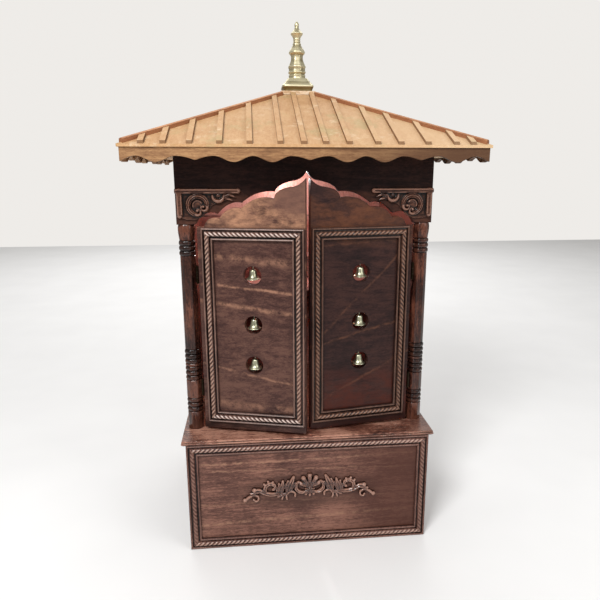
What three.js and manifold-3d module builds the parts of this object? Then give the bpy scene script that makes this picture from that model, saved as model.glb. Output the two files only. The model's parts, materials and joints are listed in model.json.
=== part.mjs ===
// Household altar cabinet: a base box with a rope-moulded front, an open-fronted shrine with
// corner columns, a cusped arch and two hinged doors hung with bells, and a battened hip roof
// with a brass finial. Millimetres, +Z up, the front faces -Y, and the origin is the centre of
// the underside of the base.
import * as THREE from "three";
import { mergeVertices } from "three/addons/utils/BufferGeometryUtils.js";
import Module from "manifold-3d";

const wasm = await Module();
wasm.setup();

// ---- Driving dimensions ----
const GAP = 0.3;
const BOARD = 18;
const BASE_W = 600;
const BASE_D = 570;
const BASE_H = 285;
const SLAB_T = 12;
const SLAB_OVERHANG = 9;
const FLOOR_Z = BASE_H + SLAB_T;
const BASE_FRONT_Y = -BASE_D / 2;
const BACK_Y = BASE_D / 2;

const BODY_W = 600;
const SETBACK = 60;
const BODY_FRONT_Y = BASE_FRONT_Y + SETBACK;
const BODY_TOP_Z = 960;
const SHELF_TOP_Z = 588;
const SHELF_T = 15;
const SHELF_D = 135;
const COLUMN_TOP_Z = 806;
const COLUMN_W = 38;
const COLUMN_MARGIN = 1.5;
const COLUMN_X = BODY_W / 2 - COLUMN_W / 2 - COLUMN_MARGIN;
const COLUMN_Y = BODY_FRONT_Y + COLUMN_W / 2;

const MOULD_W = 28;
const BASE_MOULD_T = 9;
const DOOR_MOULD_T = 12;

const HINGE_X = 258;
const DOOR_PROUD = 2;
const PIN_PROUD = 2.5;
const DOOR_FRONT_Y = BODY_FRONT_Y - DOOR_PROUD;
const HINGE_Y = DOOR_FRONT_Y - PIN_PROUD;
const DOOR_T = 18;
const DOOR_EDGE_X = 255.5;
const DOOR_MEET_X = 1.2;
const DOOR_BOTTOM_Z = 304;
const DOOR_SHOULDER_Z = 801;
const DOOR_MOULD_X = [3, 244.5];
const DOOR_MOULD_Z = [323, 800];
const LEFT_AJAR_DEG = 15;
const RIGHT_AJAR_DEG = 9.6;
const BELL_X = 126.5;
const BELL_Z = { top: 691, middle: 572.5, bottom: 473 };
const HOLE_R = 21.5;
const HOLE_SIDES = 16;
const HINGE_Z = { upper: 690, lower: 410 };

const EAVE_Z = 981;
const ROOF_TOP_Z = 1117;
const ROOF_T = 6;
const SIDE_OVERHANG = 102;
const FRONT_OVERHANG = 92;
const BACK_OVERHANG = 100;
const EAVE_X = BODY_W / 2 + SIDE_OVERHANG;
const EAVE_FRONT_Y = BODY_FRONT_Y - FRONT_OVERHANG;
const EAVE_BACK_Y = BACK_Y + BACK_OVERHANG;
const ROOF_Y = (EAVE_FRONT_Y + EAVE_BACK_Y) / 2;
const EAVE_HALF_D = (EAVE_BACK_Y - EAVE_FRONT_Y) / 2;
const ROOF_TOP_HALF = 42.5;
const CAP_HALF = 44;
const CAP_T = 9;
const BATTEN_W = 12;
const BATTEN_T = 7;
const HIP_W = 14;
const HIP_T = 8.5;
const FASCIA_T = 12;
const FASCIA_INSET = 4;
const SOFFIT_T = 8;

// ---- Materials ----
const material = (color, roughness, metalness = 0) =>
  new THREE.MeshStandardMaterial({ color, roughness, metalness });
const darkWood = material(0x3a2622, 0.45);
const walnut = material(0x6b4a40, 0.4);
const moulding = material(0x8a6252, 0.4);
const slabWood = material(0x96694f, 0.45);
const innerWood = material(0xa5584a, 0.6);
const roofWood = material(0xc8a073, 0.7);
const hipWood = material(0xa5683a, 0.7);
const brass = material(0xb89b5a, 0.3, 1);
const hingeMetal = material(0x6a5a40, 0.45, 1);

// ---- Closed bodies ----
function signedVolume(points, faces) {
  const [a, b, c] = [new THREE.Vector3(), new THREE.Vector3(), new THREE.Vector3()];
  let total = 0;
  for (let i = 0; i < faces.length; i += 3) {
    a.fromArray(points, faces[i] * 3);
    b.fromArray(points, faces[i + 1] * 3);
    c.fromArray(points, faces[i + 2] * 3);
    total += a.dot(b.cross(c));
  }
  return total;
}

// A geometry whose triangles all face outwards.
function closedBody(points, faces) {
  const outward = signedVolume(points, faces) > 0 ? [...faces] : [...faces].reverse();
  const geometry = new THREE.BufferGeometry();
  geometry.setAttribute("position", new THREE.Float32BufferAttribute(points, 3));
  geometry.setIndex(outward);
  return geometry;
}

// Keeps only the positions of a geometry, joins the corners that coincide, and drops the
// triangles that this flattens.
function welded(source) {
  const geometry = source.clone();
  geometry.deleteAttribute("normal");
  geometry.deleteAttribute("uv");
  const merged = mergeVertices(geometry, 1e-3);
  const faces = [];
  for (let i = 0; i < merged.index.count; i += 3) {
    const triangle = [0, 1, 2].map((corner) => merged.index.getX(i + corner));
    if (new Set(triangle).size === 3) {
      faces.push(...triangle);
    }
  }
  return closedBody([...merged.attributes.position.array], faces);
}

function transformed(source, matrix) {
  const geometry = source.clone().applyMatrix4(matrix);
  return closedBody([...geometry.attributes.position.array], [...geometry.index.array]);
}

const moved = (source, x, y, z) => transformed(source, new THREE.Matrix4().makeTranslation(x, y, z));
const mirroredX = (source) => transformed(source, new THREE.Matrix4().makeScale(-1, 1, 1));

function toSolid(geometry) {
  return new wasm.Manifold(
    new wasm.Mesh({
      numProp: 3,
      vertProperties: new Float32Array(geometry.attributes.position.array),
      triVerts: new Uint32Array(geometry.index.array),
    }),
  );
}

function fromSolid(solid) {
  const mesh = solid.getMesh();
  return closedBody([...mesh.vertProperties], [...mesh.triVerts]);
}

const joined = (parts) => fromSolid(parts.map(toSolid).reduce((sum, next) => sum.add(next)));
const without = (part, cutters) =>
  fromSolid(cutters.map(toSolid).reduce((rest, cutter) => rest.subtract(cutter), toSolid(part)));

function box([x0, x1], [y0, y1], [z0, z1]) {
  const geometry = welded(new THREE.BoxGeometry(x1 - x0, y1 - y0, z1 - z0));
  return moved(geometry, (x0 + x1) / 2, (y0 + y1) / 2, (z0 + z1) / 2);
}

// Skins a closed body over rings of equal point count. `outline` is the flat shape of a ring.
function loft(rings, outline) {
  const count = outline.length;
  const faces = [];
  for (let r = 0; r < rings.length - 1; r++) {
    for (let i = 0; i < count; i++) {
      const a = r * count + i;
      const b = r * count + ((i + 1) % count);
      faces.push(a, b, b + count, a, b + count, a + count);
    }
  }
  const flat = outline.map(([u, v]) => new THREE.Vector2(u, v));
  const clockwise = THREE.ShapeUtils.isClockWise(flat);
  const last = (rings.length - 1) * count;
  for (const triangle of THREE.ShapeUtils.triangulateShape(flat, [])) {
    const [a, b, c] = clockwise === (crossOf(flat, triangle) < 0) ? triangle : [...triangle].reverse();
    faces.push(a, c, b, last + a, last + b, last + c);
  }
  return closedBody(rings.flat(2), faces);
}

function crossOf(flat, [a, b, c]) {
  const first = flat[b].clone().sub(flat[a]);
  const second = flat[c].clone().sub(flat[a]);
  return first.cross(second);
}

// A board in the X-Z plane: `shape` is drawn in X and Z, and the board fills y0 to y1.
function uprightBoard(shape, [y0, y1], curveSegments = 5) {
  const depth = y1 - y0;
  const geometry = new THREE.ExtrudeGeometry(shape, { depth, bevelEnabled: false, curveSegments });
  return moved(welded(geometry.rotateX(Math.PI / 2)), 0, y1, 0);
}

function lathe(profile, segments) {
  const points = profile.map(([radius, z]) => new THREE.Vector2(radius, z));
  const geometry = new THREE.LatheGeometry(points, segments);
  return welded(geometry.rotateX(Math.PI / 2));
}

function ringPoints(x, z, radius, sides) {
  return Array.from({ length: sides }, (_, i) => {
    const turn = (i / sides) * 2 * Math.PI;
    return [x + radius * Math.cos(turn), z + radius * Math.sin(turn)];
  });
}

function shapeOf(points) {
  return new THREE.Shape(points.map(([x, z]) => new THREE.Vector2(x, z)));
}

// ---- Scene graph ----
const shrine = new THREE.Group();

function addPiece(name, geometry, finish) {
  const mesh = new THREE.Mesh(geometry, finish);
  mesh.name = name;
  shrine.add(mesh);
}

// ---- Rope moulding: an outer bead, a rope in a channel, and an inner bead ----
const BEAD_W = 5;
const ROPE_START = 8.5;
const ROPE_W = 11;

function mouldingSection(thickness) {
  const beadTop = thickness * 0.62;
  const groove = thickness * 0.3;
  const ropeEdge = thickness * 0.7;
  const ropeEnd = ROPE_START + ROPE_W;
  const innerBead = MOULD_W - BEAD_W;
  const chamfer = 1.2;
  const beadAt = (u) => [
    [u, beadTop - chamfer],
    [u + chamfer, beadTop],
    [u + BEAD_W - chamfer, beadTop],
  ];
  return [
    [0, 0],
    ...beadAt(0),
    [BEAD_W, groove],
    [ROPE_START, groove],
    [ROPE_START, ropeEdge],
    [ROPE_START + ROPE_W * 0.3, thickness],
    [ropeEnd - ROPE_W * 0.3, thickness],
    [ropeEnd, ropeEdge],
    [ropeEnd, groove],
    [innerBead, groove],
    ...beadAt(innerBead),
    [MOULD_W, 0],
  ];
}

// One mitred side of a frame, lying along `along` with its outer edge through `corner`.
function mitredSide(section, length, corner, along, inward) {
  const outwardY = new THREE.Vector3(0, -1, 0);
  const ring = (start) =>
    section.map(([u, v]) => {
      const run = start ? u + GAP : length - u - GAP;
      return corner
        .clone()
        .addScaledVector(along, run)
        .addScaledVector(inward, u)
        .addScaledVector(outwardY, v)
        .toArray();
    });
  return loft([ring(true), ring(false)], section);
}

function mouldingFrame([x0, x1], [z0, z1], backY, thickness) {
  const section = mouldingSection(thickness);
  const right = new THREE.Vector3(1, 0, 0);
  const up = new THREE.Vector3(0, 0, 1);
  const left = right.clone().negate();
  const down = up.clone().negate();
  const at = (x, z) => new THREE.Vector3(x, backY, z);
  return {
    bottom: mitredSide(section, x1 - x0, at(x0, z0), right, up),
    top: mitredSide(section, x1 - x0, at(x0, z1), right, down),
    left: mitredSide(section, z1 - z0, at(x0, z0), up, right),
    right: mitredSide(section, z1 - z0, at(x1, z0), up, left),
  };
}

// ---- Base ----
function buildBase() {
  const halfW = BASE_W / 2;
  const inW = halfW - BOARD - GAP;
  const inFront = BASE_FRONT_Y + BOARD + GAP;
  const inBack = BACK_Y - BOARD - GAP;
  const boardZ = [0, BASE_H - GAP];
  addPiece("base_front_panel", box([-halfW, halfW], [BASE_FRONT_Y, BASE_FRONT_Y + BOARD], boardZ), walnut);
  addPiece("base_back_panel", box([-halfW, halfW], [BACK_Y - BOARD, BACK_Y], boardZ), darkWood);
  addPiece("base_side_left", box([-halfW, BOARD - halfW], [inFront, inBack], boardZ), walnut);
  addPiece("base_side_right", box([halfW - BOARD, halfW], [inFront, inBack], boardZ), walnut);
  addPiece("base_bottom", box([-inW, inW], [inFront, inBack], [0, BOARD]), darkWood);
  addPiece("base_top_slab", topSlab(), slabWood);
  const frame = mouldingFrame([-halfW, halfW], [0, BASE_H - 1], BASE_FRONT_Y - GAP, BASE_MOULD_T);
  for (const [side, geometry] of Object.entries(frame)) {
    addPiece(`base_moulding_${side}`, geometry, moulding);
  }
  addPiece("base_carved_onlay", carvedOnlay(), walnut);
}

// The slab has a thin lip along its top edge, a groove under it and a rounded band below that,
// on the front and both ends.
function topSlab() {
  const halfW = BASE_W / 2;
  const levels = [
    [BASE_H, SLAB_OVERHANG - 3],
    [BASE_H + SLAB_T * 0.3, SLAB_OVERHANG + 1],
    [BASE_H + SLAB_T * 0.55, SLAB_OVERHANG + 1],
    [BASE_H + SLAB_T * 0.6, SLAB_OVERHANG - 2],
    [BASE_H + SLAB_T * 0.7, SLAB_OVERHANG],
    [FLOOR_Z - 1, SLAB_OVERHANG],
    [FLOOR_Z, SLAB_OVERHANG - 1.5],
  ];
  const outlineAt = (reach) => [
    [-halfW - reach, BASE_FRONT_Y - reach],
    [halfW + reach, BASE_FRONT_Y - reach],
    [halfW + reach, BACK_Y],
    [-halfW - reach, BACK_Y],
  ];
  const rings = levels.map(([z, reach]) => outlineAt(reach).map(([x, y]) => [x, y, z]));
  return loft(rings, outlineAt(SLAB_OVERHANG));
}

// ---- Carving helpers: low relief standing off a board whose face looks to -Y ----
// A raised leaf or boss: `outline` in X-Z round its middle, with a wall and a crown.
function mound(outline, faceY, wall, crown) {
  const count = outline.length;
  const middle = outline.reduce(([x, z], p) => [x + p[0] / count, z + p[1] / count], [0, 0]);
  const points = [];
  outline.forEach(([x, z]) => points.push(x, faceY, z));
  outline.forEach(([x, z]) => points.push(x, faceY - wall, z));
  points.push(middle[0], faceY, middle[1], middle[0], faceY - crown, middle[1]);
  const faces = [];
  for (let i = 0; i < count; i++) {
    const j = (i + 1) % count;
    faces.push(i, i + count, j + count, i, j + count, j);
    faces.push(j, 2 * count, i);
    faces.push(i + count, 2 * count + 1, j + count);
  }
  return closedBody(points, faces);
}

const boss = ([x, z], radius, faceY, crown, sides = 8) =>
  mound(ringPoints(x, z, radius, sides), faceY, crown * 0.55, crown);

// A pointed leaf from its foot to its tip, widest a little past the foot.
function leaf([x0, z0], [x1, z1], width, faceY, crown) {
  const run = [x1 - x0, z1 - z0];
  const length = Math.hypot(...run);
  const along = run.map((part) => part / length);
  const across = [-along[1], along[0]];
  const spread = [
    [0, 0.3],
    [0.45, 0.5],
    [1, 0],
    [0.45, -0.5],
    [0, -0.3],
  ];
  const outline = spread.map(([s, w]) => [
    x0 + along[0] * s * length + across[0] * w * width,
    z0 + along[1] * s * length + across[1] * w * width,
  ]);
  return mound(outline, faceY, crown * 0.45, crown);
}

// A carved stem with a ridge, following `path(t)` for t from 0 to 1.
function stem(path, widthAt, faceY, crown, steps) {
  const section = [
    [-1, 0],
    [-0.8, 0.6],
    [0.2, 1],
    [1, 0],
  ];
  const rings = [];
  for (let i = 0; i <= steps; i++) {
    const t = i / steps;
    const [x, z] = path(t);
    const [xa, za] = path(Math.max(t - 0.01, 0));
    const [xb, zb] = path(Math.min(t + 0.01, 1));
    const length = Math.hypot(xb - xa, zb - za);
    const across = [-(zb - za) / length, (xb - xa) / length];
    const half = widthAt(t) / 2;
    const place = ([w, v]) => [x + across[0] * half * w, faceY - crown * v, z + across[1] * half * w];
    rings.push(section.map(place));
  }
  return loft(rings, section);
}

// A spiral round `centre` from one radius and angle (degrees) to another.
function spiral([cx, cz], [r0, r1], [a0, a1]) {
  return (t) => {
    const radius = r0 + (r1 - r0) * t;
    const turn = THREE.MathUtils.degToRad(a0 + (a1 - a0) * t);
    return [cx + radius * Math.cos(turn), cz + radius * Math.sin(turn)];
  };
}

function curveThrough(points) {
  const curve = new THREE.CatmullRomCurve3(points.map(([x, z]) => new THREE.Vector3(x, 0, z)));
  return (t) => {
    const at = curve.getPoint(t);
    return [at.x, at.z];
  };
}

const taper = (from, to) => (t) => from + (to - from) * t;

// ---- Carved onlay: a shell palmette between two scrolling acanthus arms ----
const ONLAY_Z = 152;

function onlayArm(faceY) {
  const z = ONLAY_Z;
  return [
    stem(spiral([30, z + 2], [22, 14], [200, -40]), taper(7, 5), faceY, 7, 5),
    stem(curveThrough([[2, z - 4], [34, z - 22], [62, z - 16], [84, z - 2]]), taper(10, 8), faceY, 7, 5),
    stem(curveThrough([[80, z - 4], [98, z + 14], [122, z + 4], [142, z - 18], [163, z - 22]]),
      taper(10, 5), faceY, 7, 6),
    stem(spiral([124, z - 10], [20, 8], [110, -150]), taper(6, 4), faceY, 6, 5),
    leaf([36, z - 2], [48, z + 28], 15, faceY, 7),
    leaf([62, z - 8], [82, z + 16], 14, faceY, 6),
    leaf([96, z + 6], [112, z + 24], 14, faceY, 7),
    leaf([128, z - 6], [150, z + 6], 11, faceY, 6),
    boss([166, z - 23], 6.5, faceY, 7, 6),
  ];
}

function carvedOnlay() {
  const faceY = BASE_FRONT_Y - GAP;
  const z = ONLAY_Z;
  const fan = (leans, from, length, width, crown) =>
    leans.map((lean) => {
      const turn = THREE.MathUtils.degToRad(lean);
      return leaf([0, from], [length * Math.sin(turn), from + length * Math.cos(turn)], width, faceY, crown);
    });
  const petals = fan([-62, -30, 0, 30, 62], z + 6, 31, 14, 9);
  const skirt = fan([-140, 180, 140], z - 12, 23, 12, 7);
  const heart = [boss([0, z + 4], 11, faceY, 10), boss([0, z - 16], 9, faceY, 8, 5)];
  const right = joined(onlayArm(faceY));
  return joined([...petals, ...heart, ...skirt, right, mirroredX(right)]);
}

// ---- Shrine body ----
// Half of a cusped arch: each entry is the control point and the end of one curve.
const ARCH_TIP_Z = 927;
const ARCH_CURVES = [
  [8, 908, 28.5, 904.5],
  [66, 899, 73.5, 880],
  [114.5, 885.5, 149.5, 855],
  [179, 862, 204.5, 830.5],
  [242, 842, 256, COLUMN_TOP_Z + GAP],
];

function valance() {
  const half = BODY_W / 2;
  const shape = new THREE.Shape();
  shape.moveTo(0, ARCH_TIP_Z);
  ARCH_CURVES.forEach((curve) => shape.quadraticCurveTo(...curve));
  shape.lineTo(half, COLUMN_TOP_Z + GAP);
  shape.lineTo(half, BODY_TOP_Z);
  shape.lineTo(0, BODY_TOP_Z);
  const right = uprightBoard(shape, [BODY_FRONT_Y, BODY_FRONT_Y + BOARD]);
  return joined([right, mirroredX(right)]);
}

// Groups of three turned beads on each column, as the heights of their middles.
const BEAD_GROUPS = [361.5, 444, 486.5, 751];
const BEAD_H = 12;
const SHAFT_FROM_Z = 490;
const CAPITAL_Z = 784;
const EDGE = 0.5;

// Three beads, with a plain block ending sharply below and above them.
function beadGroup(middle) {
  const neck = COLUMN_W - 6;
  const shaftAt = (z) => (z < SHAFT_FROM_Z ? COLUMN_W - 1 : COLUMN_W - 4);
  const [low, high] = [middle - 1.5 * BEAD_H, middle + 1.5 * BEAD_H];
  const beads = [-1, 0, 1].flatMap((place) => [
    [middle + place * BEAD_H, COLUMN_W],
    [middle + (place + 0.5) * BEAD_H, neck],
  ]);
  return [[low - EDGE, shaftAt(low)], [low, neck], ...beads, [high + EDGE, shaftAt(high)]];
}

// Levels of a column: height and width across flats.
function columnLevels() {
  return [
    [FLOOR_Z + GAP, COLUMN_W - 1],
    ...BEAD_GROUPS.flatMap(beadGroup),
    [CAPITAL_Z, COLUMN_W - 3],
    [CAPITAL_Z + 12, COLUMN_W],
    [COLUMN_TOP_Z, COLUMN_W],
  ];
}

function octagon(acrossFlats) {
  const radius = acrossFlats / 2 / Math.cos(Math.PI / 8);
  return Array.from({ length: 8 }, (_, i) => {
    const turn = (i + 0.5) * (Math.PI / 4);
    return [radius * Math.cos(turn), radius * Math.sin(turn)];
  });
}

function column(x) {
  const ringAt = ([z, width]) => octagon(width).map(([dx, dy]) => [x + dx, COLUMN_Y + dy, z]);
  const rings = columnLevels().map(ringAt);
  return loft(rings, octagon(COLUMN_W));
}

const BRACKET_X = 297;
const BRACKET_TOP_Z = 888;
const BRACKET_FOOT_Z = 826;
const BAR_W = 13;

// A corner bracket: two bars, a big volute with a ball eye, and a crescent leaf beside it.
function bracket() {
  const faceY = BODY_FRONT_Y - GAP;
  const depth = [faceY - 10, faceY];
  const barTop = box([168, BRACKET_X], depth, [BRACKET_TOP_Z - BAR_W, BRACKET_TOP_Z]);
  const barEnd = leaf([172, 881], [150, 884], BAR_W + 2, faceY, 9);
  const barSide = box([BRACKET_X - BAR_W, BRACKET_X], depth, [BRACKET_FOOT_Z, BRACKET_TOP_Z - 2]);
  const barFoot = boss([BRACKET_X - BAR_W / 2, BRACKET_FOOT_Z], BAR_W / 2, faceY, 9.9, 8);
  const web = uprightBoard(
    shapeOf([[166, 878], [288, 878], [288, 822], [266, 823], [238, 834], [226, 852], [196, 860]]),
    [faceY - 3, faceY],
  );
  const eye = [257, 849];
  const volute = stem(spiral(eye, [26, 7], [-150, 330]), taper(9, 7), faceY, 11, 14);
  const curl = boss([250, 840], 7, faceY, 12, 10);
  const crescent = stem(spiral([214, 872], [18, 15], [185, 345]), taper(5, 11), faceY, 9, 7);
  const sprig = leaf([186, 872], [166, 862], 9, faceY, 6);
  return joined([web, barTop, barEnd, barSide, barFoot, volute, curl, crescent, sprig]);
}

function sidePanel() {
  const half = BODY_W / 2;
  const behindColumn = COLUMN_Y + COLUMN_W / 2 + GAP;
  const behindValance = BODY_FRONT_Y + BOARD + GAP;
  const notchZ = COLUMN_TOP_Z + GAP;
  const outline = [
    [behindColumn, FLOOR_Z + GAP],
    [BACK_Y, FLOOR_Z + GAP],
    [BACK_Y, BODY_TOP_Z],
    [behindValance, BODY_TOP_Z],
    [behindValance, notchZ],
    [behindColumn, notchZ],
  ];
  const ringAt = (x) => outline.map(([y, z]) => [x, y, z]);
  return loft([ringAt(half - BOARD), ringAt(half)], outline);
}

function buildBody() {
  const inW = BODY_W / 2 - BOARD - GAP;
  const backFace = BACK_Y - BOARD;
  const behindValance = BODY_FRONT_Y + BOARD + GAP;
  const shelfY = [backFace - GAP - SHELF_D, backFace - GAP];
  const shelfZ = [SHELF_TOP_Z - SHELF_T, SHELF_TOP_Z];
  const side = sidePanel();
  addPiece("shrine_side_right", side, walnut);
  addPiece("shrine_side_left", mirroredX(side), walnut);
  addPiece("shrine_back_panel", box([-inW, inW], [backFace, BACK_Y], [FLOOR_Z + GAP, BODY_TOP_Z]), innerWood);
  const ceilingZ = [BODY_TOP_Z - BOARD, BODY_TOP_Z];
  addPiece("shrine_ceiling", box([-inW, inW], [behindValance, backFace - GAP], ceilingZ), innerWood);
  addPiece("shrine_shelf", box([-inW, inW], shelfY, shelfZ), innerWood);
  addPiece("arch_valance", valance(), darkWood);
  addPiece("column_left", column(-COLUMN_X), walnut);
  addPiece("column_right", column(COLUMN_X), walnut);
  const rightBracket = bracket();
  addPiece("bracket_right", rightBracket, walnut);
  addPiece("bracket_left", mirroredX(rightBracket), walnut);
}

// ---- Doors: built closed on the right-hand side, then mirrored and swung ajar ----
// The crest follows the arch inside it, with a clear margin all round.
const CREST_TIP_Z = 911;
const CREST_CURVES = [
  [9, 898, 28, 893],
  [64, 889, 71, 873],
  [71.5, 869, 72, 866],
  [113.5, 878, 149, 843.5],
  [178.5, 852.5, 202, 820],
  [229, 829, 238, DOOR_SHOULDER_Z],
];

function doorBoard() {
  const shape = new THREE.Shape();
  shape.moveTo(DOOR_MEET_X, CREST_TIP_Z);
  CREST_CURVES.forEach((curve) => shape.quadraticCurveTo(...curve));
  shape.lineTo(DOOR_EDGE_X, DOOR_SHOULDER_Z);
  shape.lineTo(DOOR_EDGE_X, DOOR_BOTTOM_Z);
  shape.lineTo(DOOR_MEET_X, DOOR_BOTTOM_Z);
  for (const z of Object.values(BELL_Z)) {
    const rim = ringPoints(BELL_X, z, HOLE_R, HOLE_SIDES).map(([x, y]) => new THREE.Vector2(x, y));
    shape.holes.push(new THREE.Path(rim));
  }
  return uprightBoard(shape, [DOOR_FRONT_Y, DOOR_FRONT_Y + DOOR_T]);
}

const BELL_TOP = 15.5;
const BELL_MOUTH = -9.5;
const BELL_MOUTH_R = 16;
const BELL_WALL = 1.4;
const WIRE_R = 0.9;

// A small bell with a clapper, on a wire that reaches the top of its hole.
function bell(z) {
  const cup = lathe(
    [
      [0, BELL_TOP],
      [6.5, 12.5],
      [9, 5.5],
      [10.5, -3],
      [BELL_MOUTH_R, BELL_MOUTH],
      [BELL_MOUTH_R - BELL_WALL, BELL_MOUTH],
      [9.5 - BELL_WALL, -1],
      [0, BELL_TOP - 2 * BELL_WALL],
    ],
    8,
  );
  const clapperAndWire = lathe(
    [
      [0, BELL_MOUTH - 3],
      [2.8, BELL_MOUTH],
      [WIRE_R, BELL_MOUTH + 4],
      [WIRE_R, HOLE_R - GAP],
      [0, HOLE_R - GAP],
    ],
    5,
  );
  return moved(joined([cup, clapperAndWire]), BELL_X, DOOR_FRONT_Y + DOOR_T / 2, z);
}

// ---- Butt hinges: three knuckles on the pin line, one leaf on the door, one on the column ----
const LEAF_H = 42;
const LEAF_T = 1.2;
const DOOR_LEAF_W = 18;
const COLUMN_LEAF_W = 28;
const KNUCKLE_R = 2.4;
const KNUCKLE_SIDES = 6;
const KNUCKLE_CLEAR = 0.6;
const MIDDLE_HALF_H = LEAF_H / 6;
const SLOT_REACH = 4;

function knuckle([z0, z1]) {
  const profile = [
    [0, z0],
    [KNUCKLE_R, z0],
    [KNUCKLE_R, z1],
    [0, z1],
  ];
  return moved(lathe(profile, KNUCKLE_SIDES), HINGE_X, HINGE_Y, 0);
}

// A cutter that clears the other leaf's knuckle out of a plate lying at `x`.
function knuckleSlot(x, zRange) {
  const reach = KNUCKLE_R + KNUCKLE_CLEAR;
  return box([x - SLOT_REACH, x + SLOT_REACH], [HINGE_Y - reach, HINGE_Y + reach], zRange);
}

function doorLeaf(z) {
  const x = DOOR_EDGE_X + GAP;
  const plate = box([x, x + LEAF_T], [HINGE_Y, HINGE_Y + DOOR_LEAF_W], [z - LEAF_H / 2, z + LEAF_H / 2]);
  const upper = knuckleSlot(x, [z + MIDDLE_HALF_H - GAP, z + LEAF_H]);
  const lower = knuckleSlot(x, [z - LEAF_H, z - MIDDLE_HALF_H + GAP]);
  const middle = knuckle([z - MIDDLE_HALF_H + GAP, z + MIDDLE_HALF_H - GAP]);
  return joined([without(plate, [upper, lower]), middle]);
}

function columnLeaf(z) {
  const x = COLUMN_X - COLUMN_W / 2 - GAP;
  const plate = box([x - LEAF_T, x], [HINGE_Y, HINGE_Y + COLUMN_LEAF_W], [z - LEAF_H / 2, z + LEAF_H / 2]);
  const slot = knuckleSlot(x, [z - MIDDLE_HALF_H - GAP, z + MIDDLE_HALF_H + GAP]);
  const upper = knuckle([z + MIDDLE_HALF_H + GAP, z + LEAF_H / 2]);
  const lower = knuckle([z - LEAF_H / 2, z - MIDDLE_HALF_H - GAP]);
  return joined([without(plate, [slot]), upper, lower]);
}

// Swings a right-hand piece open about the right hinge pin.
function swung(geometry, degrees) {
  const turn = new THREE.Matrix4().makeRotationZ(THREE.MathUtils.degToRad(degrees));
  return moved(transformed(moved(geometry, -HINGE_X, -HINGE_Y, 0), turn), HINGE_X, HINGE_Y, 0);
}

function doorPieces() {
  const pieces = [["board", doorBoard(), walnut]];
  const frame = mouldingFrame(DOOR_MOULD_X, DOOR_MOULD_Z, DOOR_FRONT_Y - GAP, DOOR_MOULD_T);
  pieces.push(["moulding_top", frame.top, moulding], ["moulding_bottom", frame.bottom, moulding]);
  pieces.push(["moulding_inner", frame.left, moulding], ["moulding_outer", frame.right, moulding]);
  for (const [level, z] of Object.entries(BELL_Z)) {
    pieces.push([`bell_${level}`, bell(z), brass]);
  }
  for (const [level, z] of Object.entries(HINGE_Z)) {
    pieces.push([`hinge_leaf_${level}`, doorLeaf(z), hingeMetal]);
  }
  return pieces;
}

function buildDoors() {
  for (const [part, geometry, finish] of doorPieces()) {
    addPiece(`door_right_${part}`, swung(geometry, RIGHT_AJAR_DEG), finish);
    addPiece(`door_left_${part}`, mirroredX(swung(geometry, LEFT_AJAR_DEG)), finish);
  }
  for (const [level, z] of Object.entries(HINGE_Z)) {
    const fixedLeaf = columnLeaf(z);
    addPiece(`column_hinge_leaf_right_${level}`, fixedLeaf, hingeMetal);
    addPiece(`column_hinge_leaf_left_${level}`, mirroredX(fixedLeaf), hingeMetal);
  }
}

// ---- Roof ----
const ROOF_RISE = ROOF_TOP_Z - EAVE_Z;
const RUN_X = EAVE_X - ROOF_TOP_HALF;
const RUN_Y = EAVE_HALF_D - ROOF_TOP_HALF;

// Height of the boarded roof surface over a place on plan.
function roofZ(x, y) {
  const fromSide = (EAVE_X - Math.abs(x)) / RUN_X;
  const fromFront = (EAVE_HALF_D - Math.abs(y - ROOF_Y)) / RUN_Y;
  return EAVE_Z + ROOF_RISE * Math.min(fromSide, fromFront, 1);
}

// A plate on the roof: the plan outline, raised between two offsets from the surface.
function onRoof(plan, [low, high]) {
  const ring = (offset) => plan.map(([x, y]) => [x, y, roofZ(x, y) + offset]);
  return loft([ring(low), ring(high)], plan);
}

// The hip between the front-right corner and the top, at `t` from 0 to 1 along its plan line.
const hipPoint = (t) => [EAVE_X - RUN_X * t, EAVE_FRONT_Y + RUN_Y * t];

const HIP_START = 0.025;
const HIP_END = 0.994;

function hipStrip([low, high], width) {
  const length = Math.hypot(RUN_X, RUN_Y);
  const across = [(RUN_Y / length) * (width / 2), (RUN_X / length) * (width / 2)];
  const plan = [HIP_START, HIP_END].map((t) => {
    const [x, y] = hipPoint(t);
    return [[x - across[0], y - across[1]], [x, y], [x + across[0], y + across[1]]];
  });
  const rings = plan.map((row) => {
    const lower = row.map(([x, y]) => [x, y, hipSideZ(x, y) + low]);
    const upper = row.map(([x, y]) => [x, y, hipSideZ(x, y) + high]).reverse();
    return [...lower, ...upper];
  });
  const section = [[0, 0], [1, 1], [2, 0], [2, 2], [1, 3], [0, 2]];
  return loft(rings, section);
}

// The roof surface near a hip, without the flat top.
function hipSideZ(x, y) {
  const fromSide = (EAVE_X - x) / RUN_X;
  const fromFront = (y - EAVE_FRONT_Y) / RUN_Y;
  return EAVE_Z + ROOF_RISE * Math.min(fromSide, fromFront);
}

// Batten centres along the eaves, laid by eye and so unevenly spaced.
const FRONT_BATTENS = [-353, -308, -254, -192, -129, -64, -14, 33, 84, 146, 197, 257, 320, 358];
const SIDE_BATTENS = [-300, -242, -180, -122, -60, -8, 52, 108, 171, 230, 290];
const MITRE = 0.25;

function panelPlan(halfEave, halfTop, eaveAt, topAt) {
  return [
    [-halfEave, eaveAt],
    [halfEave, eaveAt],
    [halfTop, topAt],
    [-halfTop, topAt],
  ];
}

// How far short of the flat top a batten stops, to clear the cap board.
const BATTEN_STOP = CAP_HALF + GAP - ROOF_TOP_HALF;

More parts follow.
